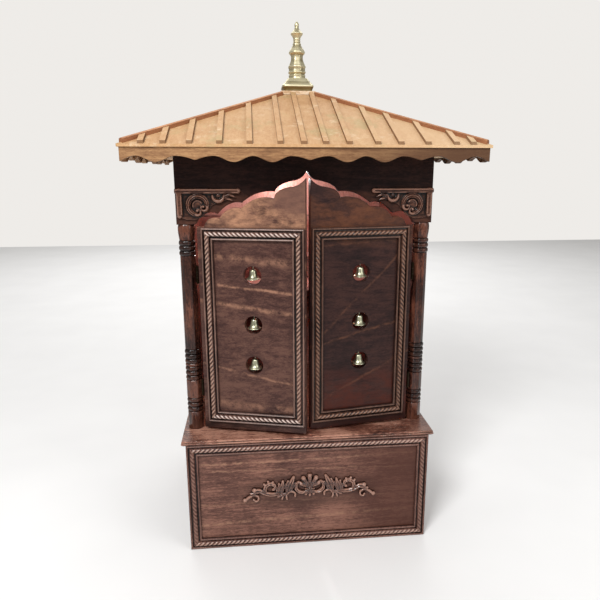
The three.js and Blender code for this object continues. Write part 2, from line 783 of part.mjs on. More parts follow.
// The plan of a batten, running from the eave up to the hip or the cap board.
function battenPlan(centre, eave, run) {
  const edges = [centre - BATTEN_W / 2, centre + BATTEN_W / 2];
  const ends = edges.map((edge) => Math.min((eave.half - Math.abs(edge)) / eave.run, 1) * run - BATTEN_STOP);
  return [
    [edges[0], 0],
    [edges[1], 0],
    [edges[1], ends[1]],
    [edges[0], ends[0]],
  ];
}

function roofPanel(battens, eave, run, place) {
  const plan = panelPlan(eave.half - MITRE, ROOF_TOP_HALF - MITRE, 0, run).map(place);
  const board = onRoof(plan, [-ROOF_T, 0]);
  const strips = battens.map((centre) =>
    onRoof(battenPlan(centre, eave, run).map(place), [-1, BATTEN_T]));
  const hips = cornersOf(hipStrip([-GAP, HIP_T + GAP], HIP_W + 2 * GAP));
  return without(joined([board, ...strips]), Object.values(hips));
}

// Copies of a front-right piece on all four corners of the roof.
function cornersOf(frontRight) {
  const back = new THREE.Matrix4().makeTranslation(0, 2 * ROOF_Y, 0);
  const backRight = transformed(frontRight, back.multiply(new THREE.Matrix4().makeScale(1, -1, 1)));
  return {
    front_right: frontRight,
    front_left: mirroredX(frontRight),
    back_right: backRight,
    back_left: mirroredX(backRight),
  };
}

// The lower edge of a fascia: a pointed cusp, then two rounded lows, in every wave.
const WAVE = 244;
const CUSP_Z = 948.5;
const CREST_Z = 957;
const LOW_Z = 944.5;
const CUSP_RUN = 40;
const SCALLOP = WAVE / 2 - CUSP_RUN;
const FASCIA_STEP = 18;

function fasciaEdgeZ(along) {
  const wrapped = Math.abs(along) % WAVE;
  const s = Math.min(wrapped, WAVE - wrapped);
  if (s < CUSP_RUN) {
    return CUSP_Z + (CREST_Z - CUSP_Z) * Math.sin((Math.PI / 2) * (s / CUSP_RUN));
  }
  const middle = (CREST_Z + LOW_Z) / 2;
  return middle + (CREST_Z - middle) * Math.cos((2 * Math.PI * (s - CUSP_RUN)) / SCALLOP);
}

function fasciaBoard(halfLength, topZ) {
  const steps = 2 * Math.round(halfLength / FASCIA_STEP);
  const edge = Array.from({ length: steps + 1 }, (_, i) => {
    const along = -halfLength + (2 * halfLength * i) / steps;
    return [along, fasciaEdgeZ(along)];
  });
  const outline = [...edge, [halfLength, topZ], [-halfLength, topZ]];
  const ring = (y) => outline.map(([x, z]) => [x, y, z]);
  return loft([ring(-FASCIA_T / 2), ring(FASCIA_T / 2)], outline);
}

function buildFascias() {
  const outerX = EAVE_X - FASCIA_INSET;
  const outerY = EAVE_HALF_D - FASCIA_INSET;
  const topZ = EAVE_Z - ROOF_T + 1;
  const wide = fasciaBoard(outerX, topZ);
  const deep = fasciaBoard(outerY - FASCIA_T - GAP, topZ);
  const turned = transformed(deep, new THREE.Matrix4().makeRotationZ(Math.PI / 2));
  addPiece("roof_fascia_front", moved(wide, 0, ROOF_Y - outerY + FASCIA_T / 2, 0), roofWood);
  addPiece("roof_fascia_back", moved(wide, 0, ROOF_Y + outerY - FASCIA_T / 2, 0), roofWood);
  addPiece("roof_fascia_left", moved(turned, FASCIA_T / 2 - outerX, ROOF_Y, 0), roofWood);
  addPiece("roof_fascia_right", moved(turned, outerX - FASCIA_T / 2, ROOF_Y, 0), roofWood);
}

function buildRoof() {
  const frontEave = { half: EAVE_X, run: RUN_X };
  const sideEave = { half: EAVE_HALF_D, run: RUN_Y };
  const front = roofPanel(FRONT_BATTENS, frontEave, RUN_Y, ([u, v]) => [u, EAVE_FRONT_Y + v]);
  const back = roofPanel(FRONT_BATTENS, frontEave, RUN_Y, ([u, v]) => [-u, EAVE_BACK_Y - v]);
  const right = roofPanel(SIDE_BATTENS, sideEave, RUN_X, ([u, v]) => [EAVE_X - v, ROOF_Y + u]);
  addPiece("roof_panel_front", front, roofWood);
  addPiece("roof_panel_back", back, roofWood);
  addPiece("roof_panel_right", right, roofWood);
  addPiece("roof_panel_left", mirroredX(right), roofWood);
  for (const [corner, geometry] of Object.entries(cornersOf(hipStrip([0, HIP_T], HIP_W)))) {
    addPiece(`roof_hip_strip_${corner}`, geometry, hipWood);
  }
  buildFascias();
  const soffitX = EAVE_X - FASCIA_INSET - FASCIA_T - GAP;
  const soffitY = EAVE_HALF_D - FASCIA_INSET - FASCIA_T - GAP;
  const soffitZ = [BODY_TOP_Z + GAP, BODY_TOP_Z + GAP + SOFFIT_T];
  addPiece("roof_soffit", box([-soffitX, soffitX], [ROOF_Y - soffitY, ROOF_Y + soffitY], soffitZ), roofWood);
}

// ---- Finial: an eight-sided brass spire on a flared square plinth ----
const CAP_Z = [ROOF_TOP_Z + GAP, ROOF_TOP_Z + GAP + CAP_T];
const FINIAL_BASE_Z = CAP_Z[1] + GAP;
const FINIAL_TIP_Z = 1300;

// Half-widths of the square plinth, upwards.
const PLINTH_LEVELS = [
  [37, FINIAL_BASE_Z],
  [37.5, FINIAL_BASE_Z + 4],
  [40.5, 1138],
  [40.5, 1141],
  [31, 1152],
  [24, 1161],
];

// Turned profiles, as radius and height, from the plinth to the tip.
const SPOOL = [[20.5, 1158], [22.5, 1163], [19.5, 1168], [21, 1170], [19.5, 1173]];
const DRUM = [[22, 1179], [22.3, 1189], [18.5, 1199]];
const DOME = [[15, 1207], [15, 1214.5], [20.6, 1224.5], [17.2, 1231], [11, 1241]];
const NECK_RINGS = [[10.5, 1245], [8.4, 1248.5], [9.4, 1251], [8.6, 1253.5], [9.4, 1256]];
const SAUCER = [[10.5, 1262], [15.4, 1269.6], [10.2, 1276]];
const BUD = [[4.8, 1286], [5.8, 1291], [4.4, 1295.6]];

function finial() {
  const spire = [[0, SPOOL[0][1]], ...SPOOL, ...DRUM, ...DOME, ...NECK_RINGS, ...SAUCER, ...BUD];
  const square = (half, z) => [[-half, -half, z], [half, -half, z], [half, half, z], [-half, half, z]];
  const plinth = loft(PLINTH_LEVELS.map(([half, z]) => square(half, z)), square(1, 0));
  const turned = lathe([...spire, [0, FINIAL_TIP_Z]], 8).rotateZ(Math.PI / 8);
  return moved(joined([plinth, turned]), 0, ROOF_Y, 0);
}

function buildTop() {
  const capY = [ROOF_Y - CAP_HALF, ROOF_Y + CAP_HALF];
  addPiece("roof_cap", box([-CAP_HALF, CAP_HALF], capY, CAP_Z), roofWood);
  addPiece("finial", finial(), brass);
}

buildBase();
buildBody();
buildDoors();
buildRoof();
buildTop();

export default shrine;
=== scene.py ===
"""Looks for the household altar cabinet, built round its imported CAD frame.

Shapes are worked out in millimetres and placed in metres: +Z up, the front faces -Y.
Colours are sRGB, from 0 to 255. Places inside a material are in metres.
"""

import json
import math

import bmesh
import bpy
import numpy as np
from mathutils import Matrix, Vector


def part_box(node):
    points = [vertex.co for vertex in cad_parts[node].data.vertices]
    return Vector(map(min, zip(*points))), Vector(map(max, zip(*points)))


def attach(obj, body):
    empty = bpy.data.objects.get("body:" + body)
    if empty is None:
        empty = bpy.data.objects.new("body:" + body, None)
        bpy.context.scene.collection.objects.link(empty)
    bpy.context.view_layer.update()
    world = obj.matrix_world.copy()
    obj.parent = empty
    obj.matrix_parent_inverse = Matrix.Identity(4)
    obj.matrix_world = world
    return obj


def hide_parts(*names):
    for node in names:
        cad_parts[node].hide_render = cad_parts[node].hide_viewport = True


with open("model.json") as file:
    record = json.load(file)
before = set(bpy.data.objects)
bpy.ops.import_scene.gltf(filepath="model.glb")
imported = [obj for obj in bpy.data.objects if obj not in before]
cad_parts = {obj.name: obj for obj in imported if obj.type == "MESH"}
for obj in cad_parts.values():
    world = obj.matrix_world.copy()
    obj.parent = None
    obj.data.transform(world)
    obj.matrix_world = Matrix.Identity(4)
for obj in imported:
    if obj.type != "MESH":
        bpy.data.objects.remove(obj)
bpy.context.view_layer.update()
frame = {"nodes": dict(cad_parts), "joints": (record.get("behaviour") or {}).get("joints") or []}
NODES = frame["nodes"]
JOINTS = {joint["child"]: joint for joint in frame["joints"]}
SIDES = ("left", "right")
MM = 0.001


def in_mm(place):
    return [round(value / MM, 1) for value in place]


def box_mm(node):
    """The lowest and the highest corner of a CAD node at rest."""
    return [in_mm(corner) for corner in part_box(node)]


GAP = 0.3
BOARD = 18
BASE_FRONT_Y = box_mm("base_front_panel")[0][1]
BODY_FRONT_Y = box_mm("arch_valance")[0][1]
DOOR_FRONT_Y = BODY_FRONT_Y - 2
HINGE = in_mm(JOINTS["door_right"]["pos_m"])
AJAR_DEG = {side: -JOINTS[f"door_{side}"]["range_deg"][0] for side in SIDES}
ROOF_Y = sum(corner[1] for corner in box_mm("roof_cap")) / 2

# ---- Camera, light and floor ----
SENSOR_MM = 36
LENS_MM = 34.62
LENS_SHIFT = (-0.0201, 0.0233)
CAMERA_AT = (-0.1304, -1.5834, 0.9263)
CAMERA_TURN_DEG = (76.07, 0, -6.01)
CABINET_FRONT = (0, -0.2, 0.6)
BEHIND = (0, 3.2, 0)
LAMP_SIZE = 0.006
WARM_WHITE = (255, 252, 248)
SKY_LIGHT = 0.36
SKY_SEEN = 0.86
FLOOR_HALF = 6
FLOOR_DROP = 0.0005
FLOOR_PAINT = (248, 248, 248)


def add_camera():
    data = bpy.data.cameras.new("camera")
    data.sensor_width = SENSOR_MM
    data.lens = LENS_MM
    data.shift_x, data.shift_y = LENS_SHIFT
    camera = bpy.data.objects.new("camera", data)
    camera.location = CAMERA_AT
    camera.rotation_euler = [math.radians(angle) for angle in CAMERA_TURN_DEG]
    bpy.context.scene.collection.objects.link(camera)
    bpy.context.scene.camera = camera


def add_light(name, kind, location, energy, size, target=None):
    data = bpy.data.lights.new(name, kind)
    data.energy = energy
    if kind == "AREA":
        data.size = size
    else:
        data.shadow_soft_size = size
    light = bpy.data.objects.new(name, data)
    light.location = location
    if target is not None:
        aim = Vector(target) - Vector(location)
        light.rotation_euler = aim.to_track_quat("-Z", "Y").to_euler()
    bpy.context.scene.collection.objects.link(light)


def add_world():
    """A soft even sky, which the camera sees as pale as the floor."""
    world = bpy.data.worlds.new("studio")
    world.use_nodes = True
    tree = world.node_tree
    sky = tree.nodes["Background"]
    seen = tree.nodes.new("ShaderNodeBackground")
    for background, strength in ((sky, SKY_LIGHT), (seen, SKY_SEEN)):
        background.inputs["Color"].default_value = linear(WARM_WHITE)
        background.inputs["Strength"].default_value = strength
    path = tree.nodes.new("ShaderNodeLightPath")
    chosen = tree.nodes.new("ShaderNodeMixShader")
    tree.links.new(path.outputs["Is Camera Ray"], chosen.inputs[0])
    tree.links.new(sky.outputs[0], chosen.inputs[1])
    tree.links.new(seen.outputs[0], chosen.inputs[2])
    tree.links.new(chosen.outputs[0], tree.nodes["World Output"].inputs[0])
    bpy.context.scene.world = world


def add_floor():
    mesh = bpy.data.meshes.new("floor")
    size = FLOOR_HALF
    corners = [(-size, -size, 0), (size, -size, 0), (size, size, 0), (-size, size, 0)]
    mesh.from_pydata(corners, [], [(0, 1, 2, 3)])
    mesh.materials.append(painted("floor_paint", FLOOR_PAINT, 0.9))
    floor = bpy.data.objects.new("floor", mesh)
    floor.location = (0, 0, -FLOOR_DROP)
    bpy.context.scene.collection.objects.link(floor)


def add_studio():
    """Three soft studio lights, and two lamps inside the shrine behind the arch."""
    bpy.context.scene.view_settings.view_transform = "Standard"
    add_world()
    add_light("key", "AREA", (-1.0, -2.1, 2.5), 66, 0.8, CABINET_FRONT)
    add_light("fill", "AREA", (1.6, -1.8, 1.6), 16, 1.4, CABINET_FRONT)
    add_light("rear", "AREA", (0, 3.8, 3.6), 130, 4, BEHIND)
    add_light("inner_top", "POINT", (-0.03, -0.09, 0.91), 1.6, LAMP_SIZE)
    add_light("inner_glow", "POINT", (-0.035, 0.2, 0.89), 0.5, LAMP_SIZE)
    add_floor()


# ---- Shader nodes ----
# The Mix node's colour sockets are found by number, because its other sockets have the same names.
MIX_FACTOR, MIX_A, MIX_B, MIX_RESULT = 0, 6, 7, 2


def linear(color):
    def part(value):
        value /= 255
        return value / 12.92 if value <= 0.04045 else ((value + 0.055) / 1.055) ** 2.4

    return (*(part(value) for value in color), 1)


class Shader:
    """A material, with short calls that add nodes and return their output sockets."""

    def __init__(self, name):
        self.material = bpy.data.materials.new(name)
        self.material.use_nodes = True
        self.tree = self.material.node_tree
        self.surface = self.tree.nodes["Principled BSDF"]
        self.where = self.add("TexCoord").outputs["Object"]

    def put(self, socket, value):
        if isinstance(value, bpy.types.NodeSocket):
            self.tree.links.new(value, socket)
        else:
            socket.default_value = value

    def add(self, kind, inputs=None, **settings):
        node = self.tree.nodes.new("ShaderNode" + kind)
        for key, value in settings.items():
            setattr(node, key, value)
        for key, value in (inputs or {}).items():
            self.put(node.inputs[key], value)
        return node

    def set(self, **sockets):
        for key, value in sockets.items():
            self.put(self.surface.inputs[key.replace("_", " ")], value)

    def math(self, operation, a, b=0.0):
        return self.add("Math", {0: a, 1: b}, operation=operation).outputs[0]

    def total(self, *terms):
        result = terms[0]
        for term in terms[1:]:
            result = self.math("ADD", result, term)
        return result

    def times(self, *terms):
        result = terms[0]
        for term in terms[1:]:
            result = self.math("MULTIPLY", result, term)
        return result

    def opposite(self, value):
        return self.math("SUBTRACT", 1.0, value)

    def centred(self, value, amount):
        """A 0 to 1 value made to swing evenly about nought by `amount` in all."""
        return self.times(self.math("SUBTRACT", value, 0.5), amount)

    def noise(self, vector, scale=1.0, detail=4.0, roughness=0.55, distortion=0.0):
        inputs = {"Vector": vector, "Scale": scale, "Detail": detail, "Roughness": roughness}
        return self.add("TexNoise", {**inputs, "Distortion": distortion}).outputs["Fac"]

    def stretched(self, scale, turn=(0, 0, 0)):
        turn = tuple(math.radians(angle) for angle in turn)
        inputs = {"Vector": self.where, "Scale": scale, "Rotation": turn}
        return self.add("Mapping", inputs).outputs["Vector"]

    def ramp(self, factor, stops):
        node = self.add("ValToRGB", {"Fac": factor})
        elements = node.color_ramp.elements
        while len(elements) < len(stops):
            elements.new(1)
        for element, (place, color) in zip(elements, stops):
            element.position = place
            element.color = linear(color)
        return node.outputs["Color"]

    def step(self, value, low, high):
        """0 below `low`, 1 above `high`, and smooth between them."""
        inputs = {"Value": value, "From Min": low, "From Max": high}
        node = self.add("MapRange", inputs, interpolation_type="SMOOTHSTEP")
        return node.outputs["Result"]

    def mix(self, factor, a, b, blend="MIX"):
        node = self.add("Mix", data_type="RGBA", blend_type=blend)
        self.put(node.inputs[MIX_FACTOR], factor)
        self.put(node.inputs[MIX_A], a)
        self.put(node.inputs[MIX_B], b)
        return node.outputs[MIX_RESULT]

    def tinted(self, color, tint, factor):
        """The colour with an sRGB tint mixed in, as far as the factor says."""
        return self.mix(factor, color, linear(tint))

    def axes(self):
        """The place on the object, as X, Y and Z."""
        return self.add("SeparateXYZ", {0: self.where}).outputs

    def facing(self):
        """Which way the surface faces, as X, Y and Z."""
        normal = self.add("NewGeometry").outputs["True Normal"]
        return self.add("SeparateXYZ", {0: normal}).outputs

    def relief(self):
        """How far a carved or turned piece stands out here, from 0 to 1."""
        return self.add("Attribute", attribute_name="relief").outputs["Fac"]

    def bump(self, height, strength, distance):
        inputs = {"Height": height, "Strength": strength, "Distance": distance}
        self.set(Normal=self.add("Bump", inputs).outputs["Normal"])


def painted(name, color, roughness):
    shader = Shader(name)
    tone = shader.noise(shader.where, 3.0, 2)
    darker = tuple(0.985 * part for part in color)
    shader.set(Base_Color=shader.ramp(tone, [(0.3, darker), (0.7, color)]), Roughness=roughness)
    return shader.material


# ---- Wood ----
# Scales of the noise along the grain and across it.
FIGURE_SCALES = (8, 100)
FLECK_SCALES = (95, 340)
PORE_SCALES = (40, 1100)
TONE_STOPS = (0.26, 0.46, 0.62)
MADE = {}
COAT_ROUGHNESS = 0.14


def along_grain(shader, grain, turn, scales):
    along, across = scales
    return shader.stretched(tuple(along if axis == grain else across for axis in "XYZ"), turn)


def wood_tone(shader, grain, turn, patches, seed, fine):
    """Grain, flecks, pores and stain patches as one value about 0.5, and the pores alone."""
    bend = shader.noise(shader.where, 2.5 + seed, 2)
    along = along_grain(shader, grain, turn, FIGURE_SCALES)
    push = shader.add("VectorMath", {0: along, 1: bend}, operation="ADD").outputs[0]
    figure = shader.noise(push, 1.0, 6, 0.6, 0.6)
    flecks = shader.noise(along_grain(shader, grain, turn, FLECK_SCALES), 1.0, 3, 0.7, 0.8)
    pores = shader.noise(along_grain(shader, grain, turn, PORE_SCALES), 1.0, 2, 0.6)
    stain = shader.noise(shader.where, 9.0 + seed, 6, 0.62)
    tone = shader.total(
        0.5,
        shader.centred(figure, 0.6),
        shader.centred(flecks, fine),
        shader.centred(pores, 0.3),
        shader.centred(stain, patches),
    )
    return tone, pores


def wood(name, colors, paints=(), grain="X", turn=(0, 0, 0), patches=0.5, seed=0.0, fine=0.85,
         rough=(0.5, 0.7), coat=0.0, gloss=0.2):
    """Stained wood. `colors` run from the darkest to the lightest, and the paints go over them.

    `patches` and `fine` are the strengths of the stain patches and of the flecks.
    """
    shader = Shader(name)
    tone, pores = wood_tone(shader, grain, turn, patches, seed, fine)
    color = shader.ramp(tone, list(zip(TONE_STOPS, colors)))
    for paint, *values in paints:
        color = paint(shader, color, *values)
    rubbed = shader.noise(shader.where, 14, 4)
    shader.set(
        Base_Color=color,
        Roughness=shader.math("ADD", shader.times(rubbed, rough[1] - rough[0]), rough[0]),
        Coat_Weight=coat,
        Coat_Roughness=COAT_ROUGHNESS,
        Specular_IOR_Level=gloss,
    )
    shader.bump(shader.total(shader.times(pores, 0.5), rubbed), 0.12, 0.0006)
    MADE[name] = shader.material


# ---- Paints: each takes a shader, the colour so far and its own values, and returns the new colour ----
VEIN_WANDER = 0.024


def shaded_and_highlighted(shader, color, dark, light, low, high, crown):
    """Paints shade into the relief below `low` to `high`, and paints highlights where it stands out above
    `crown`.
    """
    relief = shader.relief()
    painted_light = shader.tinted(color, light, shader.step(relief, crown, 1.0))
    return shader.mix(shader.step(relief, low, high), linear(dark), painted_light)


def veined(shader, color, light, rows):
    """Lighter lines of figure. Each row is a slope, a level, a half-width and a strength."""
    x, _, z = shader.axes()
    drift = shader.centred(shader.noise(shader.where, 14, 8, 0.75), VEIN_WANDER)
    breaks = shader.noise(shader.where, 45, 5, 0.7)
    for slope, level, half_width, strength in rows:
        height = shader.total(z, shader.times(x, -slope), drift)
        away = shader.math("ABSOLUTE", shader.math("SUBTRACT", height, level))
        line = shader.opposite(shader.step(away, 0, half_width))
        shown = shader.times(line, strength, shader.step(breaks, 0.36, 0.6))
        color = shader.tinted(color, light, shown)
    return color


def toned(shader, color, bands, soft=0.012):
    """Mixes in a colour between two heights. Each band is the heights, a colour and a strength."""
    _, _, z = shader.axes()
    cloud = shader.noise(shader.stretched((14, 14, 30)), 1.0, 8, 0.72)
    for low, high, tint, strength in bands:
        inside = shader.times(shader.step(z, low, low + soft), shader.step(z, high, high - soft))
        patchy = shader.times(inside, strength, shader.step(cloud, 0.34, 0.66))
        color = shader.tinted(color, tint, patchy)
    return color


def fading(shader, color, low, high, tint, strength):
    """Mixes in a colour more and more towards the right, between two places."""
    x, _, _ = shader.axes()
    return shader.tinted(color, tint, shader.times(shader.step(x, low, high), strength))


def darker_oval(shader, color, centre, radii, tint, strength):
    """A darker patch, as a soft oval on the front."""
    x, _, z = shader.axes()
    across = shader.math("DIVIDE", shader.math("SUBTRACT", x, centre[0]), radii[0])
    up = shader.math("DIVIDE", shader.math("SUBTRACT", z, centre[1]), radii[1])
    away = shader.total(shader.times(across, across), shader.times(up, up))
    inside = shader.opposite(shader.step(away, 0.3, 1.2))
    return shader.tinted(color, tint, shader.times(inside, strength))


def specked(shader, color, tint, from_x):
    """Pale specks of dust and old glue, only out past `from_x` on both sides."""
    x, _, _ = shader.axes()
    out = shader.step(shader.math("ABSOLUTE", x), from_x, from_x + 0.05)
    grit = shader.step(shader.noise(shader.where, 330, 2, 0.5), 0.62, 0.7)
    return shader.tinted(color, tint, shader.times(out, grit, 0.8))


# ---- Meshes ----
WELD = 1e-6


def place(name, shape, body, node, slot, material, sharp_deg):
    """Makes a piece of points in millimetres, faces and the points' relief, which stands for a CAD node."""
    points, faces, relief = shape
    mesh = bpy.data.meshes.new(name)
    mesh.from_pydata((np.asarray(points) * MM).tolist(), [], [tuple(face) for face in faces])
    if relief is not None:
        layer = mesh.attributes.new("relief", "FLOAT", "POINT")
        layer.data.foreach_set("value", np.asarray(relief, np.float32).ravel())
    edit = bmesh.new()
    edit.from_mesh(mesh)
    bmesh.ops.remove_doubles(edit, verts=edit.verts, dist=WELD)
    bmesh.ops.recalc_face_normals(edit, faces=edit.faces)
    limit = math.radians(sharp_deg)
    for face in edit.faces:
        face.smooth = True
    for edge in edit.edges:
        edge.smooth = len(edge.link_faces) == 2 and edge.calc_face_angle(0) < limit
    edit.to_mesh(mesh)
    edit.free()
    mesh.materials.append(MADE[material])
    piece = bpy.data.objects.new(name, mesh)
    bpy.context.scene.collection.objects.link(piece)
    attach(piece, body)
    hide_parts(node)


def swept(rows, columns):
    """Faces over a grid of points whose rows are closed rings, with both ends closed."""
    faces = []
    for r in range(rows - 1):
        for c in range(columns):
            d = (c + 1) % columns
            near, far = r * columns, (r + 1) * columns
            faces.append((near + c, near + d, far + d, far + c))
    last = (rows - 1) * columns
    faces.append(tuple(range(columns)))
    faces.append(tuple(last + c for c in reversed(range(columns))))
    return faces


def joined(*parts):
    """Several bodies, each of points, faces and relief, as one."""
    points, faces, relief = (list(each) for each in parts[0])
    for more_points, more_faces, more_relief in parts[1:]:
        faces += [tuple(i + len(points) for i in face) for face in more_faces]
        points += list(more_points)
        relief += list(more_relief)
    return np.array(points), faces, np.array(relief)


def mirrored(points, side):
    return np.asarray(points) * ((-1 if side == "left" else 1), 1, 1)


def hung(points, side):
    """Swings a right-hand door piece ajar about its pin, and mirrors it for the left door."""
    angle = math.radians(AJAR_DEG[side])
    points = np.asarray(points, float)
    dx, dy = points[:, 0] - HINGE[0], points[:, 1] - HINGE[1]
    x = HINGE[0] + dx * math.cos(angle) - dy * math.sin(angle)
    y = HINGE[1] + dx * math.sin(angle) + dy * math.cos(angle)
    return mirrored(np.stack([x, y, points[:, 2]], 1), side)


# ---- Rope mouldings ----
MOULD_W = 28
BEAD_W = 5
BEAD_STOPS = (-0.97, -0.75, -0.4, 0, 0.4, 0.75, 0.97)
ROPE_MID = MOULD_W / 2
ROPE_HALF = 6.1
ROPE_PITCH = 11
ROPE_LEAN = 1.15
ROPE_CUT = 0.42
ROPE_STEP = 1.15
GROOVE_PART = 0.22
BEAD_PART = 0.66
BASE_MOULD_T = 9
BASE_MOULD_TOP = 284
DOOR_MOULD_T = 12
DOOR_MOULD_X = (3, 244.5)
DOOR_MOULD_Z = (323, 800)
# Level runs take the rope materials with the brighter painted highlights, upright runs the dimmer ones.
RUNS = {"bottom": "level", "top": "level", "left": "upright", "right": "upright"}
DOOR_NAMES = {"bottom": "bottom", "top": "top", "left": "inner", "right": "outer"}


def bead_columns(start, groove, bead):
    columns = [(start + 0.01, groove + 0.2, 0.1, 0)]
    for part in BEAD_STOPS:
        rise = math.sqrt(1 - part * part)
        place = start + BEAD_W / 2 * (1 + part)
        columns.append((place, bead * (0.72 + 0.28 * rise), 0.45 + 0.45 * rise**3, 0))
    return columns


def rope_columns(groove, thickness):
    columns = []
    for part in np.linspace(-1, 1, 15):
        height = groove + (thickness - groove) * math.sqrt(1 - 0.995 * part * part)
        columns.append((ROPE_MID + ROPE_HALF * part, height, 1, 1))
    return columns


def moulding_section(thickness):
    """Columns of the section: place across, height, relief, and how far it is rope."""
    groove, bead = GROOVE_PART * thickness, BEAD_PART * thickness
    columns = [(0, 0, 0, 0), *bead_columns(0, groove, bead), (BEAD_W - 0.01, groove, 0, 0)]
    columns += [*rope_columns(groove, thickness), (ROPE_MID + ROPE_HALF + 0.1, groove, 0, 0)]
    columns += [*bead_columns(MOULD_W - BEAD_W, groove, bead), (MOULD_W, 0, 0, 0)]
    return np.array(columns, float).T


def moulding_side(length, corner, along, inward, hand, thickness):
    """Points, faces and relief of one mitred side. `hand` keeps the twist the same all round."""
    across, height, relief, rope = moulding_section(thickness)
    steps = int(length / ROPE_STEP)
    t = np.linspace(0, 1, steps + 1)[:, None]
    run = (across + GAP) + (length - 2 * across - 2 * GAP) * t
    phase = (run + hand * (across - ROPE_MID) * ROPE_LEAN) / ROPE_PITCH
    strand = 2 * (phase - np.floor(phase)) - 1
    ridge = np.sqrt(1 - 0.97 * strand * strand)
    groove = GROOVE_PART * thickness
    tall = groove + (height - groove) * (1 - ROPE_CUT * rope * (1 - ridge))
    # deep and edge lower the relief in the rope's troughs and along its sides, where the material paints
    # shade.
    deep = relief * (1 - rope * (1 - ridge) * 0.95)
    edge = 1 - rope * np.abs((across - ROPE_MID) / ROPE_HALF) ** 6 * 0.6
    points = (
        np.asarray(corner, float)
        + run[..., None] * np.asarray(along, float)
        + np.broadcast_to(across, run.shape)[..., None] * np.asarray(inward, float)
        + np.broadcast_to(tall, run.shape)[..., None] * np.array([0, -1, 0])
    )
    return points.reshape(-1, 3), swept(steps + 1, len(across)), (deep * edge).ravel()


def moulding_frame(x_range, z_range, back_y, thickness):
    (x0, x1), (z0, z1) = x_range, z_range
    right, left, up, down = (1, 0, 0), (-1, 0, 0), (0, 0, 1), (0, 0, -1)
    return {
        "bottom": moulding_side(x1 - x0, (x0, back_y, z0), right, up, -1, thickness),
        "top": moulding_side(x1 - x0, (x0, back_y, z1), right, down, 1, thickness),
        "left": moulding_side(z1 - z0, (x0, back_y, z0), up, right, 1, thickness),
        "right": moulding_side(z1 - z0, (x1, back_y, z0), up, left, -1, thickness),
    }


def build_base_mouldings():
    (left, front, foot), (right, _, _) = box_mm("base_front_panel")
    sides = moulding_frame((left, right), (foot, BASE_MOULD_TOP), front - GAP, BASE_MOULD_T)
    for side, shape in sides.items():
        node, paint = f"base_moulding_{side}", f"rope_base_{RUNS[side]}"
        place(f"rope_base_{side}", shape, "root", node, "moulding_wood", paint, 50)


def build_door_mouldings():
    sides = moulding_frame(DOOR_MOULD_X, DOOR_MOULD_Z, DOOR_FRONT_Y - GAP, DOOR_MOULD_T)
    for hand in SIDES:
        for side, (points, faces, relief) in sides.items():
            name = DOOR_NAMES[side]
            shape = hung(points, hand), faces, relief
            node, paint = f"door_{hand}_moulding_{name}", f"rope_{hand}_{RUNS[side]}"
            place(f"rope_{hand}_{name}", shape, f"door_{hand}", node, "moulding_wood", paint, 50)


# ---- Boards cut to a curved outline ----
def quadratic(start, curves, steps=14):
    """Points along a chain of quadratic curves, each a control point and an end."""
    points = [start]
    for cx, cz, ex, ez in curves:
        sx, sz = points[-1]
        for i in range(1, steps + 1):
            t = i / steps
            a, b, c = (1 - t) ** 2, 2 * t * (1 - t), t * t
            points.append((a * sx + b * cx + c * ex, a * sz + b * cz + c * ez))
    return points


def outline_curve(loops, thickness, bevel):
    """A flat filled curve with rounded edges, from closed loops of points."""
    curve = bpy.data.curves.new("outline", "CURVE")
    curve.dimensions = "2D"
    curve.fill_mode = "BOTH"
    curve.extrude = thickness / 2 - bevel
    curve.bevel_depth = bevel
    curve.bevel_resolution = 2
    curve.offset = -bevel
    for loop in loops:
        spline = curve.splines.new("POLY")
        spline.points.add(len(loop) - 1)
        spline.use_cyclic_u = True
        for point, (x, z) in zip(spline.points, loop):
            point.co = (x, z, 0, 1)
    return curve


def cut_board(outline, holes, y_range, bevel):
    """A board in the X-Z plane with rounded edges, as points and faces."""
    curve = outline_curve((outline, *holes), y_range[1] - y_range[0], bevel)
    holder = bpy.data.objects.new("outline", curve)
    bpy.context.scene.collection.objects.link(holder)
    made = bpy.data.meshes.new_from_object(holder)
    points = np.zeros(len(made.vertices) * 3)
    made.vertices.foreach_get("co", points)
    points = points.reshape(-1, 3)
    faces = [tuple(face.vertices) for face in made.polygons]
    bpy.data.objects.remove(holder)
    bpy.data.curves.remove(curve)
    bpy.data.meshes.remove(made)
    middle = (y_range[0] + y_range[1]) / 2
    return np.stack([points[:, 0], middle - points[:, 2], points[:, 1]], 1), faces


def circle(x, z, radius, sides=48):
    turns = [2 * math.pi * i / sides for i in range(sides)]
    return [(x + radius * math.cos(a), z + radius * math.sin(a)) for a in turns]


BELL_X = 126.5
BELL_Z = {"top": 691, "middle": 572.5, "bottom": 473}
HOLE_R = 21.5
DOOR_X = (1.2, 255.5)
DOOR_FOOT_Z = 304
DOOR_SHOULDER_Z = 801
DOOR_TIP_Z = 911
ARCH_TIP_Z = 927
ARCH = [
    (8, 908, 28.5, 904.5),
    (66, 899, 73.5, 880),
    (114.5, 885.5, 149.5, 855),
    (179, 862, 204.5, 830.5),
    (242, 842, 256, 806.3),
]
CREST = [
    (9, 898, 28, 893),
    (64, 889, 71, 873),
    (71.5, 869, 72, 866),
    (113.5, 878, 149, 843.5),
    (178.5, 852.5, 202, 820),
    (229, 829, 238, DOOR_SHOULDER_Z),
]


def build_door_boards():
    inner, outer = DOOR_X
    crest = quadratic((inner, DOOR_TIP_Z), CREST)
    outline = [*crest, (outer, DOOR_SHOULDER_Z), (outer, DOOR_FOOT_Z), (inner, DOOR_FOOT_Z)]
    holes = [circle(BELL_X, z, HOLE_R) for z in BELL_Z.values()]
    points, faces = cut_board(outline, holes, (DOOR_FRONT_Y, DOOR_FRONT_Y + BOARD), 1.2)
    for side in SIDES:
        shape, door = (hung(points, side), faces, None), f"door_{side}"
        place(f"board_{side}", shape, door, f"{door}_board", "walnut_wood", door, 14)


